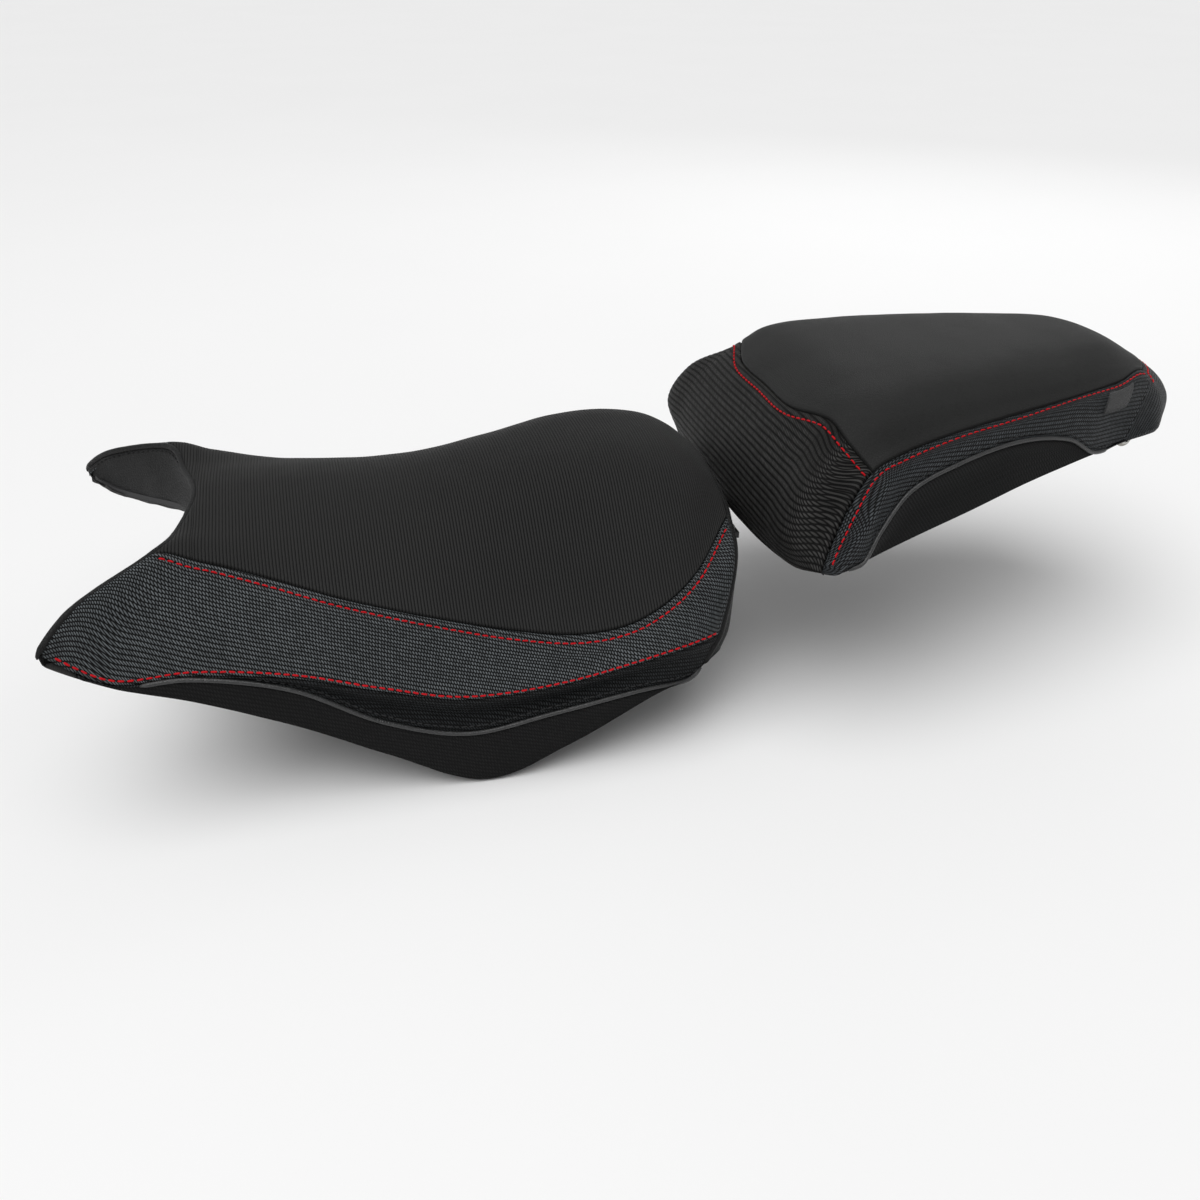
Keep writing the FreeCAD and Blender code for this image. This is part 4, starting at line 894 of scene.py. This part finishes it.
rf = Panel(RS, 0, 2, -7, 7, step=1.8, step_i=1.0, seams="0100")
rf.seam_valleys(1.2, 1.4, 0.9)
rf.groove(1, 3.8, 0.5, 0.8)
rf.noise(0.35, 45, 41).noise(0.12, 16, 42)
rf.finish()
body_part("rider_front_cover", [(rf, (rf.ai, rf.aj))], M_LEA, "rider_seat", ["rider_front_panel"])
rb = Panel(RS, 11, 13, -7, 7, step=1.8, step_i=1.0, seams="1000")
steady(rb, RS)
rb.seam_valleys(1.2, 1.4, 0.7)
rb.noise(0.35, 45, 43).noise(0.12, 16, 44)
rb.finish()
body_part("rider_rear_cover", [(rb, (rb.ai, rb.aj))], M_LEA, "rider_seat", ["rider_rear_panel"])

# ============================================================ PILLION COVER
pt = Panel(PS, 3, 9, -4, 4, step=1.7, step_i=1.5, seams="1111")
pt.seam_valleys(1.6, 0.58, 0.25)
pt.noise(0.22, 80, 51).noise(0.06, 24, 52)
pt.finish()
body_part("pillion_top", [(pt, (pt.ai, pt.aj))], M_TOP, "pillion_seat", ["pillion_top_panel"])

pf_ = Panel(PS, 0, 3, -4, 4, step=1.8, step_i=0.6, seams="0111")
pf_.seam_valleys(1.6, 0.58, 0.25)
pf_.groove(1, 5.5, 0.5, 0.9, 4.5, 0.35)
pf_.noise(0.35, 50, 53)
pf_dev = develop(pf_, 0, 0.3, 0.7)
pf_.h = ribs(pf_.h, pf_dev[1], 3.7, 0.30, away(pf_, 2.5) * np.clip((pf_.e[1] - 6.4) / 1.2, 0, 1))
pf_.finish()
body_part("pillion_front", [(pf_, pf_dev)], M_FRIB, "pillion_seat", ["pillion_front_panel"])

bol, ins = {}, {}
for tag, sg in (("right", 1), ("left", -1)):
    c0, c1 = (4, 6) if sg > 0 else (-6, -4)
    s = Panel(PS, 0, 9, c0, c1, step=0.8, step_i=1.5, seams="0011")
    up, lo = (2, 3) if sg > 0 else (3, 2)
    s.seam_valleys(1.5, 0.58, 0.2)
    s.groove(up, 5.5, 0.5, 0.9, 4.5, 0.35)
    s.noise(0.3, 45, 61)
    s.dev = develop(s, lo, 0.3, 0.9)
    s.finish()
    bol[tag] = (s, up, lo)
    c0, c1 = (6, 8) if sg > 0 else (-8, -6)
    q = Panel(PS, 0, 9, c0, c1, step=1.6, step_i=FINE, seams="0010" if sg > 0 else "0001")
    q.seam_valleys(0.9, 1.2, 0.35)
    q.noise(0.25, 45, 63)
    q.h = ribs(q.h, q.ai, 2.0, 0.16, away(q, 3.0))
    q.finish()
    ins[tag] = (q, 2 if sg > 0 else 3, 3 if sg > 0 else 2)
    body_part("pillion_inset_" + tag, [(q, (q.ai, q.aj))], M_INRIB, "pillion_seat", ["pillion_side_inset_" + tag])

# the bolster runs round the rear as one strip
pr_ = Panel(PS, 9, 11, -8, 8, step=1.5, step_i=0.9, seams="1000")
lim = np.clip((np.abs(np.linspace(-8, 8, len(pr_.fj))) - 4) / 1.0, 0, 1)
lim = np.clip((4.15 - np.abs(pr_.fj)) / 0.3, 0, 1)
d0 = pr_.e[0]
pr_.h += (-1.2 * np.exp(-(d0 / 0.85) ** 2) + 0.2 * np.exp(-((d0 - 3.2) / 1.9) ** 2)
          - 0.45 * np.exp(-((d0 - 5.5) / 0.9) ** 2)) * lim[None, :]
pr_.noise(0.3, 45, 61)
pr_.finish()
body_part("pillion_rear_bolster", [(pr_, (pr_.aj, pr_.ai))], M_CARB2, "pillion_seat", [])
for tag, sg in (("right", 1), ("left", -1)):
    s, up, lo = bol[tag]
    body_part("pillion_bolster_" + tag, [(s, s.dev)], M_CARB2, "pillion_seat",
              ["pillion_side_bolster_" + tag])

# ================================================================= THREADS
def seq(*ls):
    return list(ls)


red_r = []
blk_r = []
for tag in ("right", "left"):
    s, up, lo = sides[tag]
    red_r.append(s.line(up, 5.5, trim=(10, 6)))
    red_r.append(s.line(lo, 2.6, trim=(6, 6)))
    b, bu, bl = bands[tag]
    blk_r.append(b.line(bl, 3.6, trim=(10, 6)))
put("rider_red_stitching", stitches(red_r, 4.5, 3.3, 0.55, 0.05, 5), M_RED, "rider_seat")
put("rider_band_stitching", stitches(blk_r, 4.0, 2.8, 0.42, 0.05, 6), M_GREY, "rider_seat")
put("rider_rim_stitching", stitches([rf.line(1, 3.8, trim=(12, 12))], 4.2, 3.0, 0.42, 0.05, 7), M_BLK, "rider_seat")

red_p = [pf_.line(1, 5.5, trim=(2, 2)), pr_.line(0, 5.5)]
for tag in ("right", "left"):
    s, up, lo = bol[tag]
    red_p.append(s.line(up, 5.5, trim=(4, 0)))
P_, N_ = red_p[1]
keep = np.abs(P_[:, 1]) < 48
red_p[1] = (P_[keep], N_[keep])
put("pillion_red_stitching", stitches(red_p, 4.5, 3.3, 0.55, 0.05, 8), M_RED, "pillion_seat")
gl = []
for tag in ("right", "left"):
    s, up, lo = bol[tag]
    gl.append(s.line(lo, 3.2, trim=(6, 8)))
put("pillion_welt_stitching", stitches(gl, 4.0, 2.8, 0.40, 0.02, 9), M_GREY, "pillion_seat")

# ================================================================== WELTS
def rail_tube(S, i0, i1, j, r, lift, n=260, flat=1.0, wob=0.04, seed=3):
    fi = np.linspace(i0, i1, n)
    P = S.pts(fi, np.array([float(j)]))[:, 0]
    N = S.nrm(fi, np.array([float(j)]))[:, 0]
    Q, M, L = resample(P + N * lift, N, 1.4)
    rad = np.full(len(Q), r)
    s = np.linspace(0, L, len(Q))
    rad = rad * np.clip(np.minimum(s, L - s) / 6.0 + 0.45, 0, 1)
    return tube(Q, M, rad, sides=16, flat=flat, wob=wob, seed=seed)


for tag, sg in (("right", 1), ("left", -1)):
    put("rider_welt_roll_" + tag, rail_tube(RS, 3.4, 10.9, 6 * sg, 1.25, 0.55), M_WELT, "rider_seat", ["rider_welt_" + tag])
    put("pillion_welt_roll_" + tag, rail_tube(PS, 0.5, 8.4, 6 * sg, 1.25, 0.55), M_WELT, "pillion_seat", ["pillion_welt_" + tag])


def row_tube(S, i, j0, j1, r, lift, n=260, seed=4):
    fj = np.linspace(j0, j1, n)
    P = S.pts(np.array([float(i)]), fj)[0]
    N = S.nrm(np.array([float(i)]), fj)[0]
    Q, M, L = resample(P + N * lift, N, 1.4)
    s = np.linspace(0, L, len(Q))
    rad = r * np.clip(np.minimum(s, L - s) / 8.0 + 0.3, 0, 1)
    return tube(Q, M, rad, sides=16, wob=0.04, seed=seed)


put("rider_rim_roll", row_tube(RS, 2, -4.6, 4.6, 1.7, 0.5), M_LEA, "rider_seat")

# ==================================================================== FOAM
def foam_piece(name, S, Q, rows, reach, pan_reach, node, body):
    """Moulded foam under the cover, with small moulding ripples, down to the pan."""
    fi = np.linspace(rows[0], rows[1], int((rows[1] - rows[0]) * 7) + 1)
    ft = np.linspace(-1, 1, 81)
    w = np.interp(fi, [r[0] for r in reach], [r[1] for r in reach])
    dp = 3.4 + 0.0 * fi
    top = np.array([(S.pts([x], ft * k) - S.nrm([x], ft * k) * e)[0] for x, k, e in zip(fi, w, dp)])
    nt_ = np.array([S.nrm([x], ft * k)[0] for x, k in zip(fi, w)])
    top += nt_ * (0.3 * waves(top, 14.0, 71) - 0.2)[..., None]
    bot = np.array([(Q.pts([x], ft * pan_reach) + Q.nrm([x], ft * pan_reach) * 1.7)[0] for x in fi])
    lat = [top * (1 - q) + bot * q for q in (0.0, 0.12, 0.5, 0.88, 1.0)]
    R, C = top.shape[:2]
    V, F = [], []
    ids = {}

    def vid(l, i, j):
        if l not in (0, 4) and 0 < i < R - 1 and 0 < j < C - 1:
            raise ValueError
        k = (l, i, j)
        if k not in ids:
            ids[k] = len(V)
            V.append(lat[l][i, j])
        return ids[k]
    for i in range(R - 1):
        for j in range(C - 1):
            F.append((vid(0, i, j), vid(0, i + 1, j), vid(0, i + 1, j + 1), vid(0, i, j + 1)))
            F.append((vid(4, i, j), vid(4, i, j + 1), vid(4, i + 1, j + 1), vid(4, i + 1, j)))
    for l in range(4):
        for j in range(C - 1):
            F.append((vid(l, 0, j), vid(l, 0, j + 1), vid(l + 1, 0, j + 1), vid(l + 1, 0, j)))
            F.append((vid(l, R - 1, j), vid(l + 1, R - 1, j), vid(l + 1, R - 1, j + 1), vid(l, R - 1, j + 1)))
        for i in range(R - 1):
            F.append((vid(l, i, 0), vid(l + 1, i, 0), vid(l + 1, i + 1, 0), vid(l, i + 1, 0)))
            F.append((vid(l, i, C - 1), vid(l, i + 1, C - 1), vid(l + 1, i + 1, C - 1), vid(l + 1, i, C - 1)))
    V = np.array(V)
    ob = make_mesh(name, V, F, V[:, :2])
    ob.data.materials.append(M_FOAM)
    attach(ob, body)
    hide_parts(node)
    return ob


foam_piece("rider_foam", RS, RPS, (1, 12), [(1, 2.5), (2.5, 2.6), (4, 3.7), (5, 4.5), (6, 4.9), (9, 4.9), (10, 4.7), (11, 4.1), (12, 3.5)],
           4.0, "rider_foam_pad", "rider_seat")
foam_piece("pillion_foam", PS, PPS, (1, 10), [(1, 3.6), (2, 4.4), (3, 5.2), (8, 5.2), (9, 5.0), (10, 4.6)],
           4.5, "pillion_foam_pad", "pillion_seat")

# ==================================================================== HEMS
from mathutils.bvhtree import BVHTree


def node_tree_of(name):
    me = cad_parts[name].data
    vs = [tuple(c * 1000.0 for c in v.co) for v in me.vertices]
    ps = [tuple(p.vertices) for p in me.polygons]
    return BVHTree.FromPolygons(vs, ps)


def ring_of(S, R, C):
    """Lower edge of a cover, all round: points, from the front centre, clockwise seen from above."""
    fi = np.linspace(0, R, 40 * R + 1)
    fj = np.linspace(-C, C, 40 * C + 1)
    a = S.pts(np.array([0.0]), fj)[0]
    b = S.pts(fi, np.array([float(C)]))[:, 0]
    c = S.pts(np.array([float(R)]), fj[::-1])[0]
    d = S.pts(fi[::-1], np.array([-float(C)]))[:, 0]
    P = np.concatenate([a[:-1], b[:-1], c[:-1], d[:-1]])
    return P


def hem_ring(name, S, R, C, pan, reps, xa, xb, width=13.0, seed=81):
    tree = node_tree_of(pan)
    P = ring_of(S, R, C)
    P = np.concatenate([P, P[:1]])
    s = np.concatenate([[0], np.cumsum(np.linalg.norm(np.diff(P, axis=0), axis=1))])
    keep = np.concatenate([[True], np.diff(s) > 1e-6])
    P, s = P[keep], s[keep]
    n = int(s[-1] / 1.7)
    t = np.linspace(0, s[-1], n + 1)[:-1]
    E = np.stack([np.interp(t, s, P[:, k]) for k in range(3)], 1)
    # inward direction, level
    W = np.stack([np.clip(E[:, 0], xa, xb) - E[:, 0], -E[:, 1], np.zeros(len(E))], 1)
    W /= np.linalg.norm(W, axis=1, keepdims=True)
    for _ in range(20):
        W = W + np.roll(W, 1, 0) + np.roll(W, -1, 0)
        W /= np.linalg.norm(W, axis=1, keepdims=True)
    steps = 11
    rows = []
    start = E + W * 5.5 + np.array([0, 0, -2.0])
    cur = []
    for k in range(len(E)):
        o = Vector(start[k])
        hit = tree.ray_cast(Vector((start[k][0], start[k][1], start[k][2] - 25.0)), Vector((0, 0, 1)), 60.0)
        if hit[0] is None:
            hit = tree.find_nearest(o)
        cur.append((hit[0], hit[1]))
    under = []
    for st in range(steps):
        row, nxt = [], []
        for k, (p, nrm) in enumerate(cur):
            nn = np.array(nrm)
            if nn[2] > 0:
                nn = -nn
            row.append(np.concatenate([np.array(p), nn]))
            w = W[k] - nn * float(W[k] @ nn)
            w /= max(np.linalg.norm(w), 1e-6)
            q = np.array(p) + w * (width - 4.0) / (steps - 1) + nn * 0.3
            h = tree.find_nearest(Vector(q))
            nxt.append((h[0], h[1]))
        under.append(np.array(row))
        cur = nxt
    U = np.array(under)                         # steps x n x 6
    for _ in range(3):                          # soften along the ring
        U[..., :3] = (U[..., :3] * 2 + np.roll(U[..., :3], 1, 1) + np.roll(U[..., :3], -1, 1)) / 4
        U[..., 3:] = (U[..., 3:] * 2 + np.roll(U[..., 3:], 1, 1) + np.roll(U[..., 3:], -1, 1)) / 4
    nn = U[..., 3:] / np.linalg.norm(U[..., 3:], axis=2, keepdims=True)
    tt = np.tile(t, (steps, 1))
    g = np.random.default_rng(seed)
    gather = 0.5 + 0.5 * np.sin(tt / 3.1 + 2.0 * np.sin(tt / 23.0)) * np.sin(tt / 37.0 + 1.0)
    prof = np.linspace(0, 1, steps)[:, None]
    off = 1.25 + 0.9 * gather * prof * (0.6 + 0.4 * np.sin(tt / 11.0))
    H = U[..., :3] + nn * off[..., None]
    # the wrap between the cover's edge and the underside
    wrap = []
    a, b = E, H[0]
    ta = np.tile(np.array([0, 0, -1.0]), (len(E), 1)) * 3.0
    tb = (H[1] - H[0]) * 2.2
    for q in np.linspace(0, 1, 8)[:-1]:
        wrap.append((2 * q ** 3 - 3 * q ** 2 + 1) * a + (q ** 3 - 2 * q ** 2 + q) * ta
                    + (-2 * q ** 3 + 3 * q ** 2) * b + (q ** 3 - q ** 2) * tb)
    edge = [U[-1][:, :3] + nn[-1] * 0.25 + (H[-1] - H[-2]) * 0.25]
    Gd = np.concatenate([np.array(wrap), H, np.array(edge)], 0)
    Gd = np.concatenate([Gd, Gd[:, :1]], 1)
    ar = arc(Gd, 0)
    uu = np.tile(np.concatenate([t, [s[-1]]]), (Gd.shape[0], 1))
    ob = panel_object(name, [(Gd, uu, ar)], M_HEM, "rider_seat" if name.startswith("rider") else "pillion_seat", reps, merge=True)
    ob.data.flip_normals()
    return ob, H, nn, t


hem_r = hem_ring("rider_hem_ring", RS, 13, 7, "rider_base_pan",
                 ["rider_hem_left", "rider_hem_right", "rider_hem_front", "rider_hem_rear"], -300 + SHIFT, -60 + SHIFT)
hem_p = hem_ring("pillion_hem_ring", PS, 11, 8, "pillion_base_pan",
                 ["pillion_hem_left", "pillion_hem_right", "pillion_hem_front", "pillion_hem_rear"], 40 + SHIFT, 235 + SHIFT)


# ================================================================= STAPLES
def islands(me):
    """Vertex positions (mm) of each separate lump of a mesh."""
    n = len(me.vertices)
    parent = list(range(n))

    def root(a):
        while parent[a] != a:
            parent[a] = parent[parent[a]]
            a = parent[a]
        return a
    for e in me.edges:
        a, b = root(e.vertices[0]), root(e.vertices[1])
        if a != b:
            parent[a] = b
    groups = {}
    for v in me.vertices:
        groups.setdefault(root(v.index), []).append([c * 1000.0 for c in v.co])
    out = [np.array(g) for g in groups.values()]
    merged = []
    for g in out:                                # faces may not share vertices: join lumps that overlap
        c = g.mean(0)
        for m in merged:
            if np.linalg.norm(m[0].mean(0) - c) < 6.5:
                m.append(g)
                break
        else:
            merged.append([g])
    return [np.concatenate(m) for m in merged]


def staples(name, node, body, pan):
    tree = node_tree_of(pan)
    items = []
    groups = []
    for lump in islands(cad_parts[node].data):
        c = (lump.max(0) + lump.min(0)) / 2
        near = [g for g in groups if np.linalg.norm(g[0] - c) < 9.0]
        if near:
            near[0][1].append(lump)
        else:
            groups.append((c, [lump]))
    for lump in [np.concatenate(g[1]) for g in groups]:
        c = (lump.max(0) + lump.min(0)) / 2
        q = np.unique(np.round(lump, 3), axis=0)
        q = q - q.mean(0)
        hit = tree.find_nearest(Vector(c))
        n = np.array(hit[1])
        n = n if float(n @ (c - np.array(hit[0]))) > 0 else -n
        _, _, vt = np.linalg.svd(q - np.outer(q @ n, n), full_matrices=False)
        t = vt[0]
        t = t - n * float(t @ n)
        t /= np.linalg.norm(t)
        top = np.array(hit[0]) + n * 2.15
        path = [top - t * 5.0 - n * 2.4, top - t * 5.0 - n * 0.9, top - t * 4.7 - n * 0.25, top - t * 4.2, top - t * 2.0,
                top + n * 0.05, top + t * 2.0, top + t * 4.2, top + t * 4.7 - n * 0.25, top + t * 5.0 - n * 0.9, top + t * 5.0 - n * 2.4]
        path = np.array(path)
        b = np.cross(n, t)
        items.append(tube(path, np.tile(b, (len(path), 1)), 0.42, sides=8, flat=1.3))
    put(name, join_data(items), M_WIRE, body, [node])


staples("rider_staple_wires", "rider_staples", "rider_seat", "rider_base_pan")
staples("pillion_staple_wires", "pillion_staples", "pillion_seat", "pillion_base_pan")

# ==================================================================== TAGS
V_, F_, U_ = [], [], []
off = 0
for sg in (1, -1):
    fi = np.linspace(7.75, 8.55, 30)
    L1 = np.linalg.norm(np.diff(PS.pts(fi, np.array([5.0 * sg]))[:, 0], axis=0), axis=1).sum()
    fi = 8 + (fi - 8.0) * 27.0 / L1
    fj = np.linspace(4.72, 5.28, 9) * sg
    Pg, Ng = PS.pts(fi, fj), PS.nrm(fi, fj)
    bolp = bol["right" if sg > 0 else "left"][0]
    Pg = Pg + Ng * 0.95
    rim = Pg - Ng * 0.9
    A = np.concatenate([rim[:1], Pg, rim[-1:]], 0)
    sidea = np.concatenate([rim[:1, :1], rim[:, :1], rim[-1:, :1]], 0)
    sideb = np.concatenate([rim[:1, -1:], rim[:, -1:], rim[-1:, -1:]], 0)
    A = np.concatenate([sidea, A, sideb], 1)
    R0, C0 = A.shape[:2]
    ua, ub = arc(A, 0), arc(A, 1)
    V_.append(A.reshape(-1, 3))
    U_.append(np.stack([ua.ravel(), ub.ravel()], 1))
    f = grid_faces(R0, C0, off)
    if sg < 0:
        f = f[:, ::-1]
    F_ += [tuple(x) for x in f]
    off += R0 * C0
put("pillion_blank_tag_tape", (np.concatenate(V_), F_, np.concatenate(U_)), M_TAPE, "pillion_seat", ["pillion_blank_tags"])

# ================================================== finishes of the CAD pieces that show
FIN = {
    "rider_base_pan": M_PAN, "pillion_base_pan": M_PAN, "rider_mount_collars": M_ZINC, "rider_front_tongue": M_ZINC,
    "tongue_rivets": M_ZINC, "rider_rubber_dampers": M_RUB, "rear_hook_sleeves": M_NYL, "pillion_striker_plate": M_ZINC,
    "pillion_striker": M_ZINC, "pillion_striker_bolts": M_ZINC, "rear_hook_bracket": M_ZINC, "rear_hook_rod": M_ZINC,
    "hook_bracket_rivets": M_ZINC, "pillion_rubber_dampers": M_RUB,
}
for n_, m_ in FIN.items():
    o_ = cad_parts[n_]
    o_.data.materials.clear()
    o_.data.materials.append(m_)

# =================================================================== STAGE
def stage():
    bpy.ops.mesh.primitive_plane_add(size=40.0, location=(0, 0, -0.0802))
    fl = bpy.context.object
    fl.name = "studio_floor"
    m, nt, b = new_mat("floor_paper", rough=0.9, spec=0.1, color=(0.88, 0.88, 0.88))
    g = G(nt)
    nt.links.new(g.mix(g.noise(3, 2), (0.87, 0.87, 0.87), (0.89, 0.89, 0.89)), b.inputs["Base Color"])
    fl.data.materials.append(m)
    w = bpy.data.worlds.new("studio")
    bpy.context.scene.world = w
    w.use_nodes = True
    w.node_tree.nodes["Background"].inputs[0].default_value = (1, 1, 1, 1)
    w.node_tree.nodes["Background"].inputs[1].default_value = 0.36
    bpy.context.scene.view_settings.view_transform = "Standard"

    def area(name, loc, target, size, power):
        ld = bpy.data.lights.new(name, "AREA")
        ld.shape = "RECTANGLE"
        ld.size, ld.size_y = size
        ld.energy = power
        ob = bpy.data.objects.new(name, ld)
        bpy.context.scene.collection.objects.link(ob)
        ob.location = loc
        d = Vector(target) - Vector(loc)
        ob.rotation_euler = d.to_track_quat("-Z", "Y").to_euler()
    area("key", (-0.9, -1.2, 1.5), (-0.05, 0, 0.03), (1.0, 1.0), 4.5)
    area("rim", (0.9, 1.2, 0.9), (0, 0, 0.05), (1.0, 0.8), 2.5)
    sd = bpy.data.lights.new("soft_sun", "SUN")
    sd.energy = 2.0
    sd.angle = math.radians(70)
    so = bpy.data.objects.new("soft_sun", sd)
    bpy.context.scene.collection.objects.link(so)
    so.rotation_euler = (math.radians(14), math.radians(-12), 0)
    cam = bpy.data.cameras.new("camera")
    cam.lens = 37.5
    cam.sensor_width = 36.0
    co = bpy.data.objects.new("camera", cam)
    bpy.context.scene.collection.objects.link(co)
    fwd = Vector((0.2125, 0.8462, -0.4886)).normalized()
    rgt = Vector((0.9699, -0.2436, 0.0)).normalized()
    upv = rgt.cross(fwd)
    M = Matrix((rgt, upv, -fwd)).transposed().to_4x4()
    M.translation = Vector((-0.250, -0.693, 0.350))
    co.matrix_world = M
    bpy.context.scene.camera = co
    cam.clip_start = 0.01


stage()
